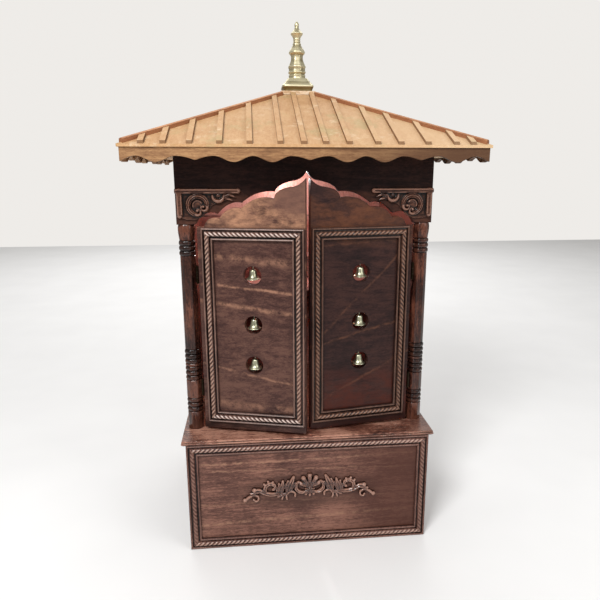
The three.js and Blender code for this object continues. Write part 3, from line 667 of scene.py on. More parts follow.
def build_arch():
    (left, front, foot), (right, back, top) = box_mm("arch_valance")
    half = quadratic((0, ARCH_TIP_Z), ARCH)
    other = [(-x, z) for x, z in reversed(half[1:])]
    outline = [*other, *half, (right, foot), (right, top), (left, top), (left, foot)]
    shape = (*cut_board(outline, [], (front, back), 0.8), None)
    place("arch", shape, "root", "arch_valance", "dark_wood", "valance", 14)


# ---- Eave boards ----
WAVE = 244
CUSP_RUN = 40
CUSP_Z, CREST_Z, LOW_Z = 948.5, 957, 944.5
FASCIA_T = 12


def fascia_z(along):
    """The height of the lower edge: a point at each end of a wave, and two scallops between."""
    wrapped = abs(along) % WAVE
    s = min(wrapped, WAVE - wrapped)
    if s < CUSP_RUN:
        return CUSP_Z + (CREST_Z - CUSP_Z) * math.sin(math.pi / 2 * s / CUSP_RUN)
    middle = (CREST_Z + LOW_Z) / 2
    return middle + (CREST_Z - middle) * math.cos(2 * math.pi * (s - CUSP_RUN) / (WAVE / 2 - CUSP_RUN))


def build_fascias():
    (_, front_y, _), (outer_x, _, top_z) = box_mm("roof_fascia_front")
    outer_y = ROOF_Y - front_y
    for side in ("front", "back", "left", "right"):
        across = side in ("front", "back")
        half = outer_x if across else outer_y - FASCIA_T - GAP
        edge = [(u, fascia_z(u)) for u in np.linspace(-half, half, 200)]
        outline = [*edge, (half, top_z), (-half, top_z)]
        points, faces = cut_board(outline, [], (-FASCIA_T / 2, FASCIA_T / 2), 0.9)
        away = (outer_y if across else outer_x) - FASCIA_T / 2
        away *= 1 if side in ("back", "right") else -1
        if across:
            points = points + (0, ROOF_Y + away, 0)
        else:
            points = np.stack([away - points[:, 1], ROOF_Y + points[:, 0], points[:, 2]], 1)
        shape, node = (points, faces, None), f"roof_fascia_{side}"
        place(f"eave_board_{side}", shape, "root", node, "roof_wood", "fascia", 14)


# ---- Columns ----
COLUMN_SIDES = 48
FOOT_W = 37.4
SHAFT_W = 35.0
RING_W = 38
RING_H = 12
RINGS_Z = (361.5, 444, 486.5, 751)
WAIST_Z = 486.5
RING_STOPS = (-0.98, -0.85, -0.6, -0.3, 0, 0.3, 0.6, 0.85, 0.98)
COLUMN_FOOT = [(297.4, 36.6, 0.6), (298.2, 37.4, 0.9)]
COLUMN_HEAD = [(771, 35, 0.5), (777, 36.6, 0.6), (784, 38.4, 0.7), (791, 39.4, 0.8), (798, 39.4, 0.8),
               (803, 38, 0.6), (805.8, 35.5, 0.3)]


def ring_levels(middle):
    """Three turned rings between two grooves in the shaft."""
    below = FOOT_W if middle <= WAIST_Z else SHAFT_W
    above = FOOT_W if middle < WAIST_Z else SHAFT_W
    low, high = middle - 1.5 * RING_H, middle + 1.5 * RING_H
    levels = [(low - 1.2, below, 0.8), (low - 0.3, below - 1.2, 0.5), (low, RING_W - 7, 0.0)]
    for centre in (middle - RING_H, middle, middle + RING_H):
        for part in RING_STOPS:
            rise = math.sqrt(1 - part * part)
            levels.append((centre + part * RING_H / 2, RING_W - 6 + 6.6 * rise, 0.05 + 0.25 * rise))
        levels.append((centre + RING_H / 2, RING_W - 7, 0.0))
    return levels + [(high + 0.3, above - 1.2, 0.5), (high + 1.2, above, 0.8)]


def column_levels():
    """Heights with the width across the flats there, and the relief."""
    rings = [level for middle in RINGS_Z for level in ring_levels(middle)]
    return [*COLUMN_FOOT, *rings, *COLUMN_HEAD]


def polygon_reach(turn, sides, corner):
    """How far a polygon of unit half-width reaches, with its corners cut back to `corner`."""
    off = (turn + math.pi / sides) % (2 * math.pi / sides) - math.pi / sides
    return min(1 / math.cos(off), corner)


def octagon_reach(turn):
    return polygon_reach(turn, 8, 1.055)


def build_columns():
    low, high = box_mm("column_right")
    x0, y0 = (low[0] + high[0]) / 2, (low[1] + high[1]) / 2
    turns = [2 * math.pi * (i + 0.5) / COLUMN_SIDES for i in range(COLUMN_SIDES)]
    ring = [(octagon_reach(a) * math.cos(a), octagon_reach(a) * math.sin(a)) for a in turns]
    levels = column_levels()
    points = [(x0 + x * w / 2, y0 + y * w / 2, z) for z, w, _ in levels for x, y in ring]
    relief = np.repeat([level[2] for level in levels], COLUMN_SIDES)
    faces = swept(len(levels), COLUMN_SIDES)
    for side in SIDES:
        shape = mirrored(points, side), faces, relief
        place(f"post_{side}", shape, "root", f"column_{side}", "walnut_wood", "column", 30)


# ---- Turned brass ----
TURNED_SIDES = 48
BELL_SIDES = 40
CLAPPER_SIDES = 16
AVERAGE_SPAN = 4


def rounded_profile(points, rounds=2):
    """Cuts the corners of a profile, keeping its ends."""
    for _ in range(rounds):
        cut = [points[0]]
        for (r0, z0), (r1, z1) in zip(points, points[1:]):
            cut.append((0.75 * r0 + 0.25 * r1, 0.75 * z0 + 0.25 * z1))
            cut.append((0.25 * r0 + 0.75 * r1, 0.25 * z0 + 0.75 * z1))
        points = [*cut, points[-1]]
    return points


def turned(profile, sides, reach=lambda turn, z: 1):
    """A turned shape about the Z axis, and the relief from how far each ring stands out."""
    radii = np.array([r for r, _ in profile])
    turns = [2 * math.pi * (i + 0.5) / sides for i in range(sides)]
    points = []
    for r, z in profile:
        points += [(r * reach(a, z) * math.cos(a), r * reach(a, z) * math.sin(a), z) for a in turns]
    span = 2 * AVERAGE_SPAN + 1
    average = np.convolve(np.pad(radii, AVERAGE_SPAN, mode="edge"), np.ones(span) / span, "valid")
    proud = np.clip(0.55 + (radii - average) / 3.0, 0, 1)
    return points, swept(len(profile), sides), np.repeat(proud, sides)


PLINTH = [
    (0.5, 1126.9), (36.6, 1126.9), (37.4, 1128), (37.4, 1130), (38.4, 1133), (40, 1136.5),
    (40.8, 1138), (40.8, 1141), (39.6, 1142), (36, 1146), (32.6, 1149.5), (30.6, 1152.5),
    (27.6, 1156.5), (24.5, 1160.6), (0.5, 1161),
]
SPIRE = [
    (0.4, 1158), (22.6, 1158), (21.4, 1162), (20.6, 1165), (21.6, 1167.4), (21.2, 1169),
    (19.4, 1170.4), (19.2, 1171.6), (20.6, 1172.6), (22.4, 1175), (22.4, 1177.4), (20.6, 1179.6),
    (20.8, 1186), (22.4, 1188), (22.4, 1190.4), (20.4, 1193.4), (18.4, 1198.5), (15.6, 1205),
    (15, 1210), (15, 1214.5), (16, 1218.6), (19.6, 1221.6), (20.8, 1224.4), (19.8, 1227),
    (17.2, 1231), (13.4, 1236.8), (11.2, 1240.6), (10.2, 1242.4), (10.6, 1244.8), (9.6, 1247),
    (8.2, 1248.4), (9.6, 1250.4), (8.4, 1252.4), (8.2, 1253.6), (9.6, 1255.8), (8.8, 1257.8),
    (9.2, 1259.6), (11, 1263), (13.4, 1266.6), (15.6, 1269), (15.6, 1270.2), (13.4, 1272.2),
    (10.2, 1275.8), (7.4, 1279.4), (5.8, 1282.6), (4.8, 1286), (5.8, 1289.4), (5.6, 1292.6),
    (4.4, 1295.6), (2.4, 1298.2), (0.3, 1299.6),
]
FACETED_BELOW_Z = 1277
PLINTH_EDGE_Z = 1137
PLINTH_UNDERSIDE_SHADE = 0.1


def plinth_reach(turn, _):
    return polygon_reach(turn, 4, 1.3)


def spire_reach(turn, z):
    return octagon_reach(turn) if z < FACETED_BELOW_Z else 1


def build_finial():
    plinth = turned(rounded_profile(PLINTH, 1), TURNED_SIDES, plinth_reach)
    spire = turned(rounded_profile(SPIRE), TURNED_SIDES, spire_reach)
    points, faces, relief = joined(plinth, spire)
    # The plinth below 1137 mm gets low relief, so its lower, downward-flaring face takes the dull brass
    # colour as painted shade.
    relief = relief * np.where(points[:, 2] < PLINTH_EDGE_Z, PLINTH_UNDERSIDE_SHADE, 1)
    shape = points + (0, ROOF_Y, 0), faces, relief
    place("spire", shape, "root", "finial", "brass", "brass", 28)


BELL = [
    (0.2, 15.1), (2.2, 15.1), (3, 14.2), (5.2, 13.4), (7.2, 11.8), (8, 9), (8.6, 4), (9.8, -1.5),
    (12.4, -5.5), (15.2, -7.8), (16, -8.7), (15.8, -9.5), (14.6, -9.5), (11.2, -6), (8.6, -1.5),
    (7.4, 4), (6.6, 8.2), (4, 11.2), (0.2, 12),
]
CLAPPER = [
    (0.2, -13.5), (2, -12.9), (2.8, -11.1), (2, -9.1), (0.7, -7.5), (0.7, 11), (0.7, 21), (0.2, 21.2),
]


def build_bells():
    cup = turned(rounded_profile(BELL), BELL_SIDES)
    clapper = turned(rounded_profile(CLAPPER), CLAPPER_SIDES)
    points, faces, relief = joined(cup, clapper)
    for side in SIDES:
        for level, z in BELL_Z.items():
            shape = hung(points + (BELL_X, DOOR_FRONT_Y + BOARD / 2, z), side), faces, relief
            name, node = f"brass_bell_{side}_{level}", f"door_{side}_bell_{level}"
            place(name, shape, f"door_{side}", node, "brass", "bell", 40)


# ---- Carving: strokes of a gouge laid on a grid of heights ----
CELL = 0.8
LOWEST_KEPT = 0.5
PROFILES = {
    "round": lambda side: np.sqrt(1 - side**2),
    "leaf": lambda side: (1 - side**2) ** 0.45 * (0.66 + 0.34 * np.minimum(np.abs(side) * 3.2, 1)),
    "ribbed": lambda side: (1 - side**4) * (0.8 + 0.2 * np.cos(side * math.pi * 3)),
    "flat": lambda side: np.minimum(1, 3.5 * (1 - np.abs(side))),
}


class Carving:
    """A height for each point of a grid in X and Z, raised by strokes and plates."""

    def __init__(self, x_range, z_range):
        self.x = np.arange(x_range[0], x_range[1] + CELL, CELL)
        self.z = np.arange(z_range[0], z_range[1] + CELL, CELL)
        self.height = np.zeros((len(self.z), len(self.x)))

    def window(self, x, z, reach):
        """The rows and columns of the grid within reach of a point."""
        low = [int((place - reach - line[0]) / CELL) for place, line in ((z, self.z), (x, self.x))]
        high = [int((place + reach - line[0]) / CELL) for place, line in ((z, self.z), (x, self.x))]
        return tuple(slice(max(0, first), last + 2) for first, last in zip(low, high))

    def stroke(self, points, widths, tops, profile="round"):
        """A ridge along a smooth path, with its width and top running through the values given."""
        path = smooth_path(points)
        t = np.linspace(0, 1, len(path))
        wide = np.interp(t, np.linspace(0, 1, len(widths)), widths) / 2
        tall = np.interp(t, np.linspace(0, 1, len(tops)), tops)
        ahead = np.gradient(path, axis=0)
        ahead /= np.linalg.norm(ahead, axis=1)[:, None] + 1e-9
        for (x, z), (ax, az), half, top in zip(path, ahead, wide, tall):
            rows, cols = self.window(x, z, half + CELL)
            dx = self.x[cols][None, :] - x
            dz = self.z[rows][:, None] - z
            side = (dz * ax - dx * az) / half
            near = np.abs(dx * ax + dz * az) <= CELL
            inside = near & (np.abs(side) < 1)
            shape = PROFILES[profile](np.clip(side, -1, 1))
            patch = self.height[rows, cols]
            np.maximum(patch, np.where(inside, top * shape, 0), out=patch)
        self.dab(*path[0], wide[0], tall[0])
        self.dab(*path[-1], wide[-1], tall[-1])

    def dab(self, x, z, radius, top):
        """A round bud."""
        rows, cols = self.window(x, z, radius + CELL)
        away = np.hypot(self.x[cols][None, :] - x, self.z[rows][:, None] - z) / max(radius, 0.1)
        patch = self.height[rows, cols]
        np.maximum(patch, top * np.sqrt(np.clip(1 - away * away, 0, 1)), out=patch)

    def plate(self, outline, top):
        """Raises everything inside a polygon to `top`."""
        gx, gz = np.meshgrid(self.x, self.z)
        inside = np.zeros(gx.shape, bool)
        for (x0, z0), (x1, z1) in zip(outline, [*outline[1:], outline[0]]):
            if z0 == z1:
                continue
            crosses = ((z0 > gz) != (z1 > gz)) & (gx < (x1 - x0) * (gz - z0) / (z1 - z0) + x0)
            inside ^= crosses
        self.height = np.where(inside, np.maximum(self.height, top), self.height)

    def solid(self, face_y):
        """Points, faces and relief of the carving as one closed body on the plane `face_y`."""
        height = 0.5 * self.height + 0.5 * blurred(self.height, 1)
        keep = height > LOWEST_KEPT
        cells = keep[:-1, :-1] & keep[1:, :-1] & keep[:-1, 1:] & keep[1:, 1:]
        used = np.zeros_like(keep)
        for dr in (0, 1):
            for dc in (0, 1):
                used[dr : dr + cells.shape[0], dc : dc + cells.shape[1]] |= cells
        index = np.full(keep.shape, -1)
        index[used] = np.arange(used.sum())
        count = int(used.sum())
        rows, cols = np.nonzero(used)
        r, c = np.nonzero(cells)
        quads = np.stack([index[r, c], index[r, c + 1], index[r + 1, c + 1], index[r + 1, c]], 1)
        rim = rim_edges(quads)
        plan = eased_rim(np.stack([self.x[cols], self.z[rows]], 1), rim)
        relief = self.relief(height)[rows, cols]
        front = np.stack([plan[:, 0], face_y - height[rows, cols], plan[:, 1]], 1)
        back = np.stack([plan[:, 0], np.full(count, face_y), plan[:, 1]], 1)
        faces = [tuple(q) for q in quads] + [tuple(q[::-1] + count) for q in quads]
        faces += [(b, a, a + count, b + count) for a, b in rim]
        return np.concatenate([front, back]), faces, np.concatenate([relief, relief * 0.3])

    def relief(self, height):
        """How far each point stands above the ones about it, and nothing close to the ground."""
        proud = height - blurred(self.height, 7)
        return np.clip(0.5 + proud / 3.6, 0, 1) * np.clip((height - 1) / 4, 0, 1)


def smooth_path(points, spacing=0.5):
    """A Catmull-Rom path through the points, sampled about every `spacing`."""
    p = np.asarray(points, float)
    padded = np.concatenate([[2 * p[0] - p[1]], p, [2 * p[-1] - p[-2]]])
    out = []
    for a, b, c, d in zip(padded, padded[1:], padded[2:], padded[3:]):
        steps = max(int(np.linalg.norm(c - b) / spacing), 2)
        t = np.linspace(0, 1, steps, endpoint=False)[:, None]
        square, cube = 2 * a - 5 * b + 4 * c - d, 3 * b - a - 3 * c + d
        out.append(0.5 * (2 * b + (c - a) * t + square * t**2 + cube * t**3))
    return np.concatenate([*out, [p[-1]]])


def arc(centre, radii, degrees, steps=14):
    turns = np.radians(np.linspace(*degrees, steps))
    reach = np.linspace(*radii, steps)
    return [(centre[0] + r * math.cos(a), centre[1] + r * math.sin(a)) for r, a in zip(reach, turns)]


def blurred(grid, radius):
    for axis in (0, 1):
        padded = np.pad(grid, [(radius, radius) if a == axis else (0, 0) for a in (0, 1)], mode="edge")
        grid = sum(np.take(padded, range(i, i + grid.shape[axis]), axis) for i in range(2 * radius + 1))
        grid = grid / (2 * radius + 1)
    return grid


def rim_edges(quads):
    """The directed edges that only one quad uses."""
    edges = set()
    for quad in quads.tolist():
        for a, b in zip(quad, quad[1:] + quad[:1]):
            if (b, a) in edges:
                edges.discard((b, a))
            else:
                edges.add((a, b))
    return sorted(edges)


def eased_rim(plan, rim, rounds=3):
    """Smooths the stepped outline of a carving in plan."""
    edges = np.array(rim)
    for _ in range(rounds):
        total = np.zeros_like(plan)
        count = np.zeros(len(plan))
        for a, b in ((0, 1), (1, 0)):
            np.add.at(total, edges[:, a], plan[edges[:, b]])
            np.add.at(count, edges[:, a], 1)
        on = count > 0
        plan = plan.copy()
        plan[on] = 0.5 * plan[on] + 0.5 * total[on] / count[on][:, None]
    return plan


def carve_onlay_tail(lay, bud):
    """The outer end of an arm: a stem that splits into a leaf tip, a curl and a bud."""
    lay([(137, 155), (126, 154), (113, 147), (98, 142), (80, 142), (62, 141)],
        [11, 14, 14, 13, 13, 9], [9, 9.5, 9, 8.5, 8.5, 7])
    bud(137.5, 155, 7.5, 10)
    lay([(128, 151), (139, 148), (147, 147)], [9, 9, 7], [8.5, 8.5, 8], "round")
    lay([(136, 146), (148, 140), (161, 130)], [9, 9, 10], [7, 8, 8.5], "round")
    bud(162, 129.5, 6.5, 9.5)
    lay([(145, 142), (136, 142), (129, 137), (129, 129), (135, 125.5), (140, 130)],
        [7, 7, 7, 7, 6.5, 6], [7, 7.5, 8, 8.5, 8.5, 8], "round")


def carve_onlay_leaves(lay):
    """The scroll with its lobes, and the two acanthus leaves between it and the middle."""
    lay([(109, 146), (112, 156), (108, 167), (98, 172), (89, 168), (87, 160), (92, 155)],
        [9, 11, 12, 12, 11, 9, 8], [8, 9, 9.5, 9.5, 9, 9, 8.5])
    lay([(108, 165), (114, 171)], [9, 7], [9, 8], "round")
    lay([(101, 170), (104, 178)], [10, 7], [9.5, 8], "round")
    lay([(93, 169), (92, 176)], [9, 7], [9.5, 8], "round")
    lay([(81, 144), (81, 155), (77, 164), (77, 171)], [9, 10, 9, 6], [7, 8.5, 9, 8])
    lay([(76, 144), (73, 158), (69, 168), (67, 177)], [9, 12, 12, 7], [7, 9.5, 10, 8.5])
    lay([(70, 146), (67, 156), (63, 163), (61, 169)], [8, 9, 9, 6], [7, 8.5, 9, 8])
    lay([(58, 146), (57, 159), (56, 169), (54, 177)], [9, 11, 11, 6], [7, 9, 9.5, 8])
    lay([(55, 146), (51, 161), (46, 174), (40, 187)], [11, 15, 15, 8], [8, 10, 11, 9])
    lay([(50, 148), (44, 158), (40, 166), (36, 171)], [8, 9, 9, 6], [7, 8.5, 9, 8])
    lay([(62, 143), (72, 138), (80, 134.5)], [8, 9, 6], [8, 8.5, 7], "round")
    lay([(62, 142), (68, 134), (70, 127)], [8, 9, 6], [8, 8.5, 7], "round")
    lay([(59, 141), (59, 133), (57, 126)], [8, 8, 6], [8, 8.5, 7], "round")
    lay([(57, 140), (52, 147), (44, 148), (37, 143), (37, 134)],
        [6, 8, 9, 8, 7], [7, 8.5, 9, 8.5, 8], "round")


def carve_onlay_volute(lay, bud):
    """The curl beside the palmette."""
    lay([(22, 172), (29, 172), (34, 165), (34, 155), (27, 147), (17, 144), (7, 148)],
        [6, 8, 9, 11, 11, 9, 6], [9, 9.5, 10, 10.5, 10, 9, 8])
    bud(21.5, 169.5, 4.4, 10.5)


def carve_onlay_shell(carving):
    """The palmette in the middle, with the row of beads and the small fan below it."""
    root_z, fan_z = 157, 150
    for lean, reach in ((-62, 25), (62, 25), (-32, 30), (32, 30), (0, 34)):
        turn = math.radians(lean)
        tip = (reach * math.sin(turn), root_z + reach * math.cos(turn))
        waist = (0.5 * tip[0], root_z + 0.5 * (tip[1] - root_z))
        carving.stroke([(0.15 * tip[0], root_z), waist, tip], [6, 11, 14], [7.5, 9, 9.5], "leaf")
        carving.stroke([waist, tip], [5, 13], [8, 11], "ribbed")
    for lean in (-68, 68, -36, 36, 0):
        turn = math.radians(lean)
        tip = (17 * math.sin(turn), fan_z - 15 * math.cos(turn))
        carving.stroke([(0, fan_z), tip], [6, 8.5], [7, 8], "leaf")
    carving.dab(0, 160, 7, 9)
    for x in (-10, -5, 0, 5, 10):
        carving.dab(x, 153.5, 2.9, 10)


def build_onlay():
    carving = Carving((-176, 176), (112, 194))
    for side in (-1, 1):

        def lay(points, widths, tops, profile="leaf"):
            carving.stroke([(side * x, z) for x, z in points], widths, tops, profile)

        def bud(x, z, radius, top):
            carving.dab(side * x, z, radius, top)

        carve_onlay_tail(lay, bud)
        carve_onlay_leaves(lay)
        carve_onlay_volute(lay, bud)
    carve_onlay_shell(carving)
    shape = carving.solid(BASE_FRONT_Y - GAP)
    place("acanthus_onlay", shape, "root", "base_carved_onlay", "walnut_wood", "onlay", 80)


def carve_bracket():
    """The right-hand corner bracket: a web with two rails, a volute in a ring, and a leaf."""
    carving = Carving((146, 300), (810, 892))
    web = [(168, 878), (290, 878), (290, 822), (276, 817), (258, 816), (238, 824), (226, 836),
           (216, 850), (200, 855), (184, 860)]
    carving.plate(web, 3)
    carving.stroke([(158, 881.5), (297, 881.5)], [13, 13], [9, 9], "flat")
    carving.dab(158, 881.5, 7, 9)
    carving.stroke([(290.5, 882), (290.5, 830)], [15, 15], [9, 9], "flat")
    carving.dab(290.5, 827, 7.4, 9)
    eye = (249.5, 850)
    carving.dab(*eye, 19, 5)
    ring = arc(eye, (21, 21), (-78, 192), 26)
    carving.stroke(ring, [12, 14, 15, 14, 12], [9, 10.5, 11, 10.5, 9], "ribbed")
    carving.stroke(arc((250, 835.5), (7.5, 6), (-60, -250), 12), [10, 8, 6], [10, 10.5, 10])
    carving.dab(250.5, 838, 5, 11)
    carving.stroke(arc((236, 845), (7.5, 6), (170, 380), 12), [10, 8, 6], [10, 10.5, 10])
    carving.dab(237, 847, 4.5, 11)
    carving.stroke(arc(eye, (11, 10), (-20, 150), 14), [5, 4], [8, 7.5])
    carving.stroke(arc((203, 872), (13, 13), (176, 364), 14), [5, 10, 12, 10, 6], [7, 9, 10, 9, 7])
    carving.dab(203, 872, 6, 6)
    carving.stroke([(186, 871), (176, 873), (163, 867)], [9, 8, 4], [7, 7, 4])
    carving.stroke([(188, 866), (177, 863), (169, 859)], [8, 7, 4], [6, 6, 4])
    return carving


def build_brackets():
    points, faces, relief = carve_bracket().solid(BODY_FRONT_Y - GAP)
    for side in SIDES:
        shape = mirrored(points, side), faces, relief
        place(f"carved_bracket_{side}", shape, "root", f"bracket_{side}", "walnut_wood", "bracket", 80)


# ---- Materials ----
# The colour of the painted shade in the hollows of the mouldings and columns.
HOLLOW_SHADE = (6, 3, 3)
EAVE_EDGE_Z = 0.981
ROPES = {
    "rope_base": [(46, 24, 20), (80, 50, 43), (116, 82, 72)],
    "rope_left": [(42, 24, 20), (76, 52, 45), (112, 82, 72)],
    "rope_right": [(30, 16, 12), (58, 36, 29), (88, 61, 50)],
}
# Painted highlight colours for the rope crowns: a brighter one for the level runs, a dimmer one for the
# upright runs.
ROPE_HIGHLIGHTS = {
    "rope_base": {"level": (178, 146, 132), "upright": (134, 100, 87)},
    "rope_left": {"level": (206, 184, 174), "upright": (164, 132, 116)},
    "rope_right": {"level": (136, 103, 86), "upright": (122, 91, 75)},
}


def make_rope_woods():
    """The mouldings of the base and of each door, with painted shade in their hollows and painted highlights
    on their crowns. The level runs get brighter painted highlights than the upright runs.
    """
    for name, colors in ROPES.items():
        for run, light in ROPE_HIGHLIGHTS[name].items():
            painted_light = (shaded_and_highlighted, HOLLOW_SHADE, light, 0.1, 0.5, 0.76)
            wood(f"{name}_{run}", colors, [painted_light], "Z", patches=0.8, rough=(0.22, 0.4), coat=0.12, gloss=0.25)


def make_door_left():
    figure = [(-0.1, 0.714, 0.014, 0.55), (-0.1, 0.645, 0.005, 0.9), (-0.12, 0.597, 0.009, 0.75),
              (-0.2, 0.42, 0.005, 0.6), (-0.05, 0.36, 0.016, 0.5)]
    crest_and_foot = [(0.795, 0.93, (184, 136, 106), 0.9), (0.29, 0.327, (30, 16, 13), 0.9)]
    paints = [
        (veined, (158, 116, 94), figure),
        (toned, crest_and_foot),
        (darker_oval, (-0.01, 0.885), (0.1, 0.07), (88, 60, 54), 0.8),
    ]
    wood("door_left", [(42, 23, 21), (69, 44, 39), (97, 67, 57)], paints, fine=0.5, rough=(0.36, 0.52))


def make_door_right():
    figure = [(0.23, 0.515, 0.005, 0.6), (0.5, 0.362, 0.006, 0.6), (1.0, 0.512, 0.007, 0.5),
              (0.05, 0.757, 0.004, 0.4)]
    paints = [
        (veined, (100, 64, 46), figure),
        (toned, [(0.2, 0.48, (72, 29, 18), 0.95)], 0.09),
        (toned, [(0.74, 0.9, (104, 62, 40), 0.8)], 0.05),
        (toned, [(0.29, 0.327, (26, 14, 12), 0.9)]),
    ]
    wood("door_right", [(20, 10, 9), (38, 21, 20), (58, 35, 30)], paints, turn=(0, 22, 0), seed=1.3, fine=0.5,
         rough=(0.34, 0.5))


def make_panel():
    """The front of the base: scratched, dark behind the onlay, and darker to the right."""
    scratches = [(0.02, 0.232, 0.004, 0.5), (0.03, 0.072, 0.006, 0.45), (-0.02, 0.205, 0.003, 0.4),
                 (0.01, 0.12, 0.003, 0.4)]
    paints = [
        (veined, (178, 136, 110), scratches),
        (darker_oval, (0, 0.147), (0.21, 0.055), (66, 42, 35), 0.6),
        (fading, 0.02, 0.24, (72, 38, 28), 0.8),
    ]
    wood("panel", [(62, 37, 32), (96, 64, 55), (138, 97, 82)], paints, patches=0.6, seed=0.7, fine=0.6,
         rough=(0.36, 0.5), gloss=0.25)


def make_slab():
    """The top slab of the base: dusty at its ends, with painted shadow lines and a painted highlight line
    along its edge.
    """
    edge_shadow_and_highlight_lines = [(0.2915, 0.2935, (20, 10, 8), 1.0), (0.2902, 0.2918, (176, 138, 120), 0.8),
                  (0.2835, 0.2865, (20, 10, 8), 1.0)]
    paints = [
        (specked, (206, 186, 172), 0.15),
        (fading, 0.24, 0.3, (70, 44, 36), 0.6),
        (toned, edge_shadow_and_highlight_lines, 0.0004),
    ]
    wood("slab", [(46, 24, 19), (114, 70, 56), (178, 130, 110)], paints, patches=1.0, seed=2.1,
         rough=(0.26, 0.42), gloss=0.4)


def make_carved_woods():
    """The columns, brackets and onlay: varnished, with painted shade in their depths and painted highlights
    where they stand out.
    """
    # Each rubbed paint below is painted shade in the hollows and a painted highlight on the crowns.
    rubbed = (shaded_and_highlighted, HOLLOW_SHADE, (100, 60, 45), 0.05, 0.5, 0.8)
    wood("column", [(20, 10, 8), (56, 30, 23), (104, 62, 47)], [rubbed], "Z", patches=1.0, fine=0.6,
         rough=(0.16, 0.28), coat=0.3)
    rubbed = (shaded_and_highlighted, (10, 5, 4), (128, 94, 80), 0.0, 0.42, 0.9)
    wood("bracket", [(28, 15, 12), (58, 35, 28), (90, 59, 46)], [rubbed], patches=0.9,
         rough=(0.2, 0.34), coat=0.25)
    rubbed = (shaded_and_highlighted, (8, 4, 3), (152, 113, 97), 0.16, 0.6, 0.8)
    wood("onlay", [(48, 27, 22), (80, 51, 42), (112, 76, 63)], [rubbed], patches=0.6, rough=(0.2, 0.32),
         coat=0.45, gloss=0.4)


def lighter_inside(shader, color):
    """Paints the faces of a side board that look inwards."""
    outward = shader.times(shader.facing()[0], shader.math("SIGN", shader.axes()[0]))
    inside = shader.step(outward, -0.3, -0.6)
    return shader.tinted(color, (150, 88, 76), shader.times(inside, 0.6))


def make_body_woods():
    """The board over the arch, the sides, and the hidden boards."""
    # The valance colours are a dark stain with the eave's shadow painted in; the band from 0.8 to 0.885 m,
    # out of that painted shadow, is lighter brown.
    band = (0.8, 0.885, (84, 52, 40), 0.85)
    wood("valance", [(18, 9, 9), (28, 15, 14), (44, 26, 22)], [(toned, [band])], gloss=0.12)
    for name, paints in (("side", []), ("shrine_side", [(lighter_inside,)])):
        wood(name, [(34, 20, 16), (58, 35, 28), (86, 54, 42)], paints, "Z", patches=0.7, rough=(0.36, 0.5),
             gloss=0.25)
    wood("dark", [(26, 15, 13), (40, 24, 20), (56, 36, 29)], patches=0.6)


def stained_and_shaded_back(shader, color):
    """Paints shade onto the front of the back panel below the shelf and low down at its sides, with redder
    bands and a dark joint line, and stains the whole of its outside dark.
    """
    behind = shader.step(shader.facing()[1], -0.6, -0.3)
    outside = shader.mix(1.0, color, linear((82, 70, 62)), "MULTIPLY")
    x, _, z = shader.axes()
    # Painted shade at the sides, low down.
    aside = shader.step(shader.math("ABSOLUTE", x), 0.07, 0.11)
    low = shader.opposite(shader.step(z, 0.77, 0.81))
    inside = shader.tinted(color, (112, 56, 48), shader.times(aside, low, 0.85))
    # Redder bands low and high, painted shade below the shelf from 0.45 to 0.66 m, and a dark joint line at
    # 0.79 m.
    bands = [(0.3, 0.46, (132, 56, 42), 0.6), (0.45, 0.66, (48, 26, 23), 0.85),
             (0.67, 0.787, (160, 86, 74), 0.75), (0.785, 0.793, (24, 12, 10), 1.0)]
    return shader.mix(behind, toned(shader, inside, bands, 0.003), outside)


def make_inner_woods():
    """The pale boards inside the shrine."""
    for name, paints in (("inner", []), ("shrine_back", [(stained_and_shaded_back,)])):
        wood(name, [(186, 128, 116), (208, 150, 138), (222, 168, 156)], paints, "Z", rough=(0.5, 0.65))
    wood("shelf", [(188, 128, 116), (210, 150, 138), (224, 170, 158)], patches=0.4, rough=(0.5, 0.65))


def weathered_and_shaded(shader, color):
    """Painted shade on the batten sides, in the same darker colour as the end grain of their ends, greenish
    damp stains and pale rubbed places on the roof boards.
    """
    above_eave = shader.step(shader.axes()[2], EAVE_EDGE_Z - 0.0005, EAVE_EDGE_Z + 0.0005)
    # Painted shade on the faces above the eave line that don't look up: the batten sides, and the end grain
    # of the batten ends.
    edge = shader.times(shader.opposite(shader.step(shader.facing()[2], 0.25, 0.6)), above_eave)
    damp = shader.step(shader.noise(shader.where, 7, 8, 0.75), 0.52, 0.66)
    rubbed = shader.step(shader.noise(shader.where, 24, 8, 0.8), 0.53, 0.68)
    color = shader.tinted(color, (168, 160, 116), shader.times(damp, 0.45))
    color = shader.tinted(color, (226, 204, 172), shader.times(rubbed, 0.5))
    return shader.tinted(color, (104, 68, 42), shader.times(edge, 0.75))


def two_toned(shader, color):
    """The sides of a hip strip, darker and redder than its top."""
    side = shader.opposite(shader.step(shader.facing()[2], 0.55, 0.75))
    return shader.tinted(color, (134, 80, 48), shader.times(side, 0.7))


def make_roof_woods():
    """Bare boards, paler towards the right, with the eave boards darker there."""
    paints = [(fading, 0.02, 0.34, (228, 198, 160), 0.45), (weathered_and_shaded,)]
    for name, grain in (("roof", "Y"), ("roof_side", "X")):
        wood(name, [(176, 132, 90), (190, 148, 106), (200, 162, 120)], paints, grain, fine=0.5,
             rough=(0.55, 0.75))
    wood("cap", [(176, 140, 104), (204, 172, 136), (226, 204, 178)], patches=0.8)
    wood("hip", [(134, 84, 50), (170, 114, 72), (196, 140, 94)], [(two_toned,)], patches=0.6, gloss=0.35)
    shade = (fading, -0.1, 0.34, (76, 48, 30), 0.9)
    wood("fascia", [(96, 64, 41), (136, 98, 66), (170, 130, 90)], [shade], seed=0.4, fine=0.4,
         rough=(0.45, 0.65), gloss=0.25)


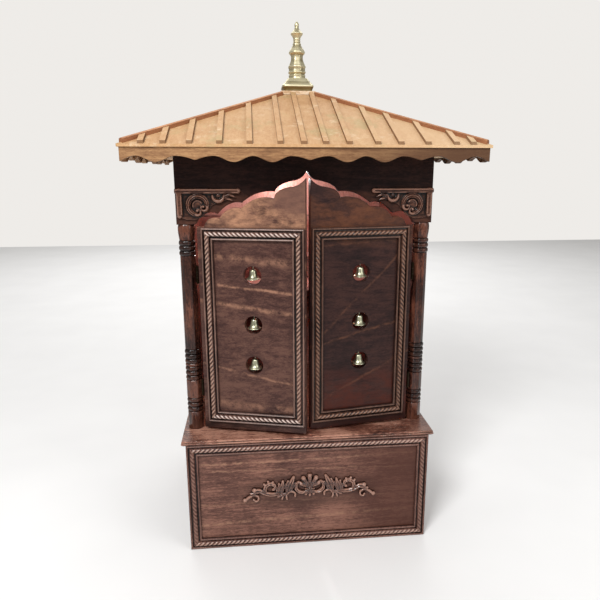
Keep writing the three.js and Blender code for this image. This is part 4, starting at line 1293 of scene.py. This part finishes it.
def brass(name, bright, dull, rough):
    """Brass that is dull in its hollows and bright where it stands out."""
    shader = Shader(name)
    cloud = shader.noise(shader.where, 40, 4)
    clean = shader.math("ADD", shader.times(shader.relief(), 0.7), shader.times(cloud, 0.5))
    color = shader.mix(shader.step(clean, 0.3, 0.75), linear(dull), linear(bright))
    roughness = shader.math("ADD", shader.times(cloud, 0.2), rough)
    shader.set(Base_Color=color, Metallic=1.0, Roughness=roughness)
    shader.bump(cloud, 0.05, 0.0005)
    MADE[name] = shader.material


def make_materials():
    make_rope_woods()
    make_door_left()
    make_door_right()
    make_panel()
    make_slab()
    make_carved_woods()
    make_body_woods()
    make_inner_woods()
    make_roof_woods()
    brass("brass", (230, 222, 188), (142, 124, 84), 0.36)
    brass("bell", (214, 214, 184), (80, 74, 52), 0.26)
    brass("hinge", (90, 74, 50), (40, 32, 22), 0.26)


# ---- CAD nodes that stay ----
DRESSED = {
    "panel": ["base_front_panel"],
    "side": ["base_side_left", "base_side_right"],
    "shrine_side": ["shrine_side_left", "shrine_side_right"],
    "dark": ["base_back_panel", "base_bottom"],
    "slab": ["base_top_slab"],
    "shrine_back": ["shrine_back_panel"],
    "inner": ["shrine_ceiling"],
    "shelf": ["shrine_shelf"],
    "roof": ["roof_panel_front", "roof_panel_back", "roof_soffit"],
    "roof_side": ["roof_panel_left", "roof_panel_right"],
    "cap": ["roof_cap"],
    "hip": [name for name in NODES if name.startswith("roof_hip_strip")],
    "hinge": [name for name in NODES if "hinge_leaf" in name],
}
EDGE_R = 0.8
SLAB_EDGE_R = 2.5


def dress_cad():
    """Gives the CAD nodes that stay their materials, and rounds their edges."""
    for material, names in DRESSED.items():
        for name in names:
            node = NODES[name]
            node.data.materials.clear()
            node.data.materials.append(MADE[material])
            bevel = node.modifiers.new("softened", "BEVEL")
            bevel.width = (SLAB_EDGE_R if material == "slab" else EDGE_R) * MM
            bevel.segments = 2
            bevel.limit_method = "ANGLE"
            bevel.angle_limit = math.radians(40)


add_camera()
add_studio()
make_materials()
dress_cad()
build_door_boards()
build_arch()
build_base_mouldings()
build_door_mouldings()
build_fascias()
build_columns()
build_finial()
build_bells()
build_onlay()
build_brackets()

bpy.context.view_layer.update()
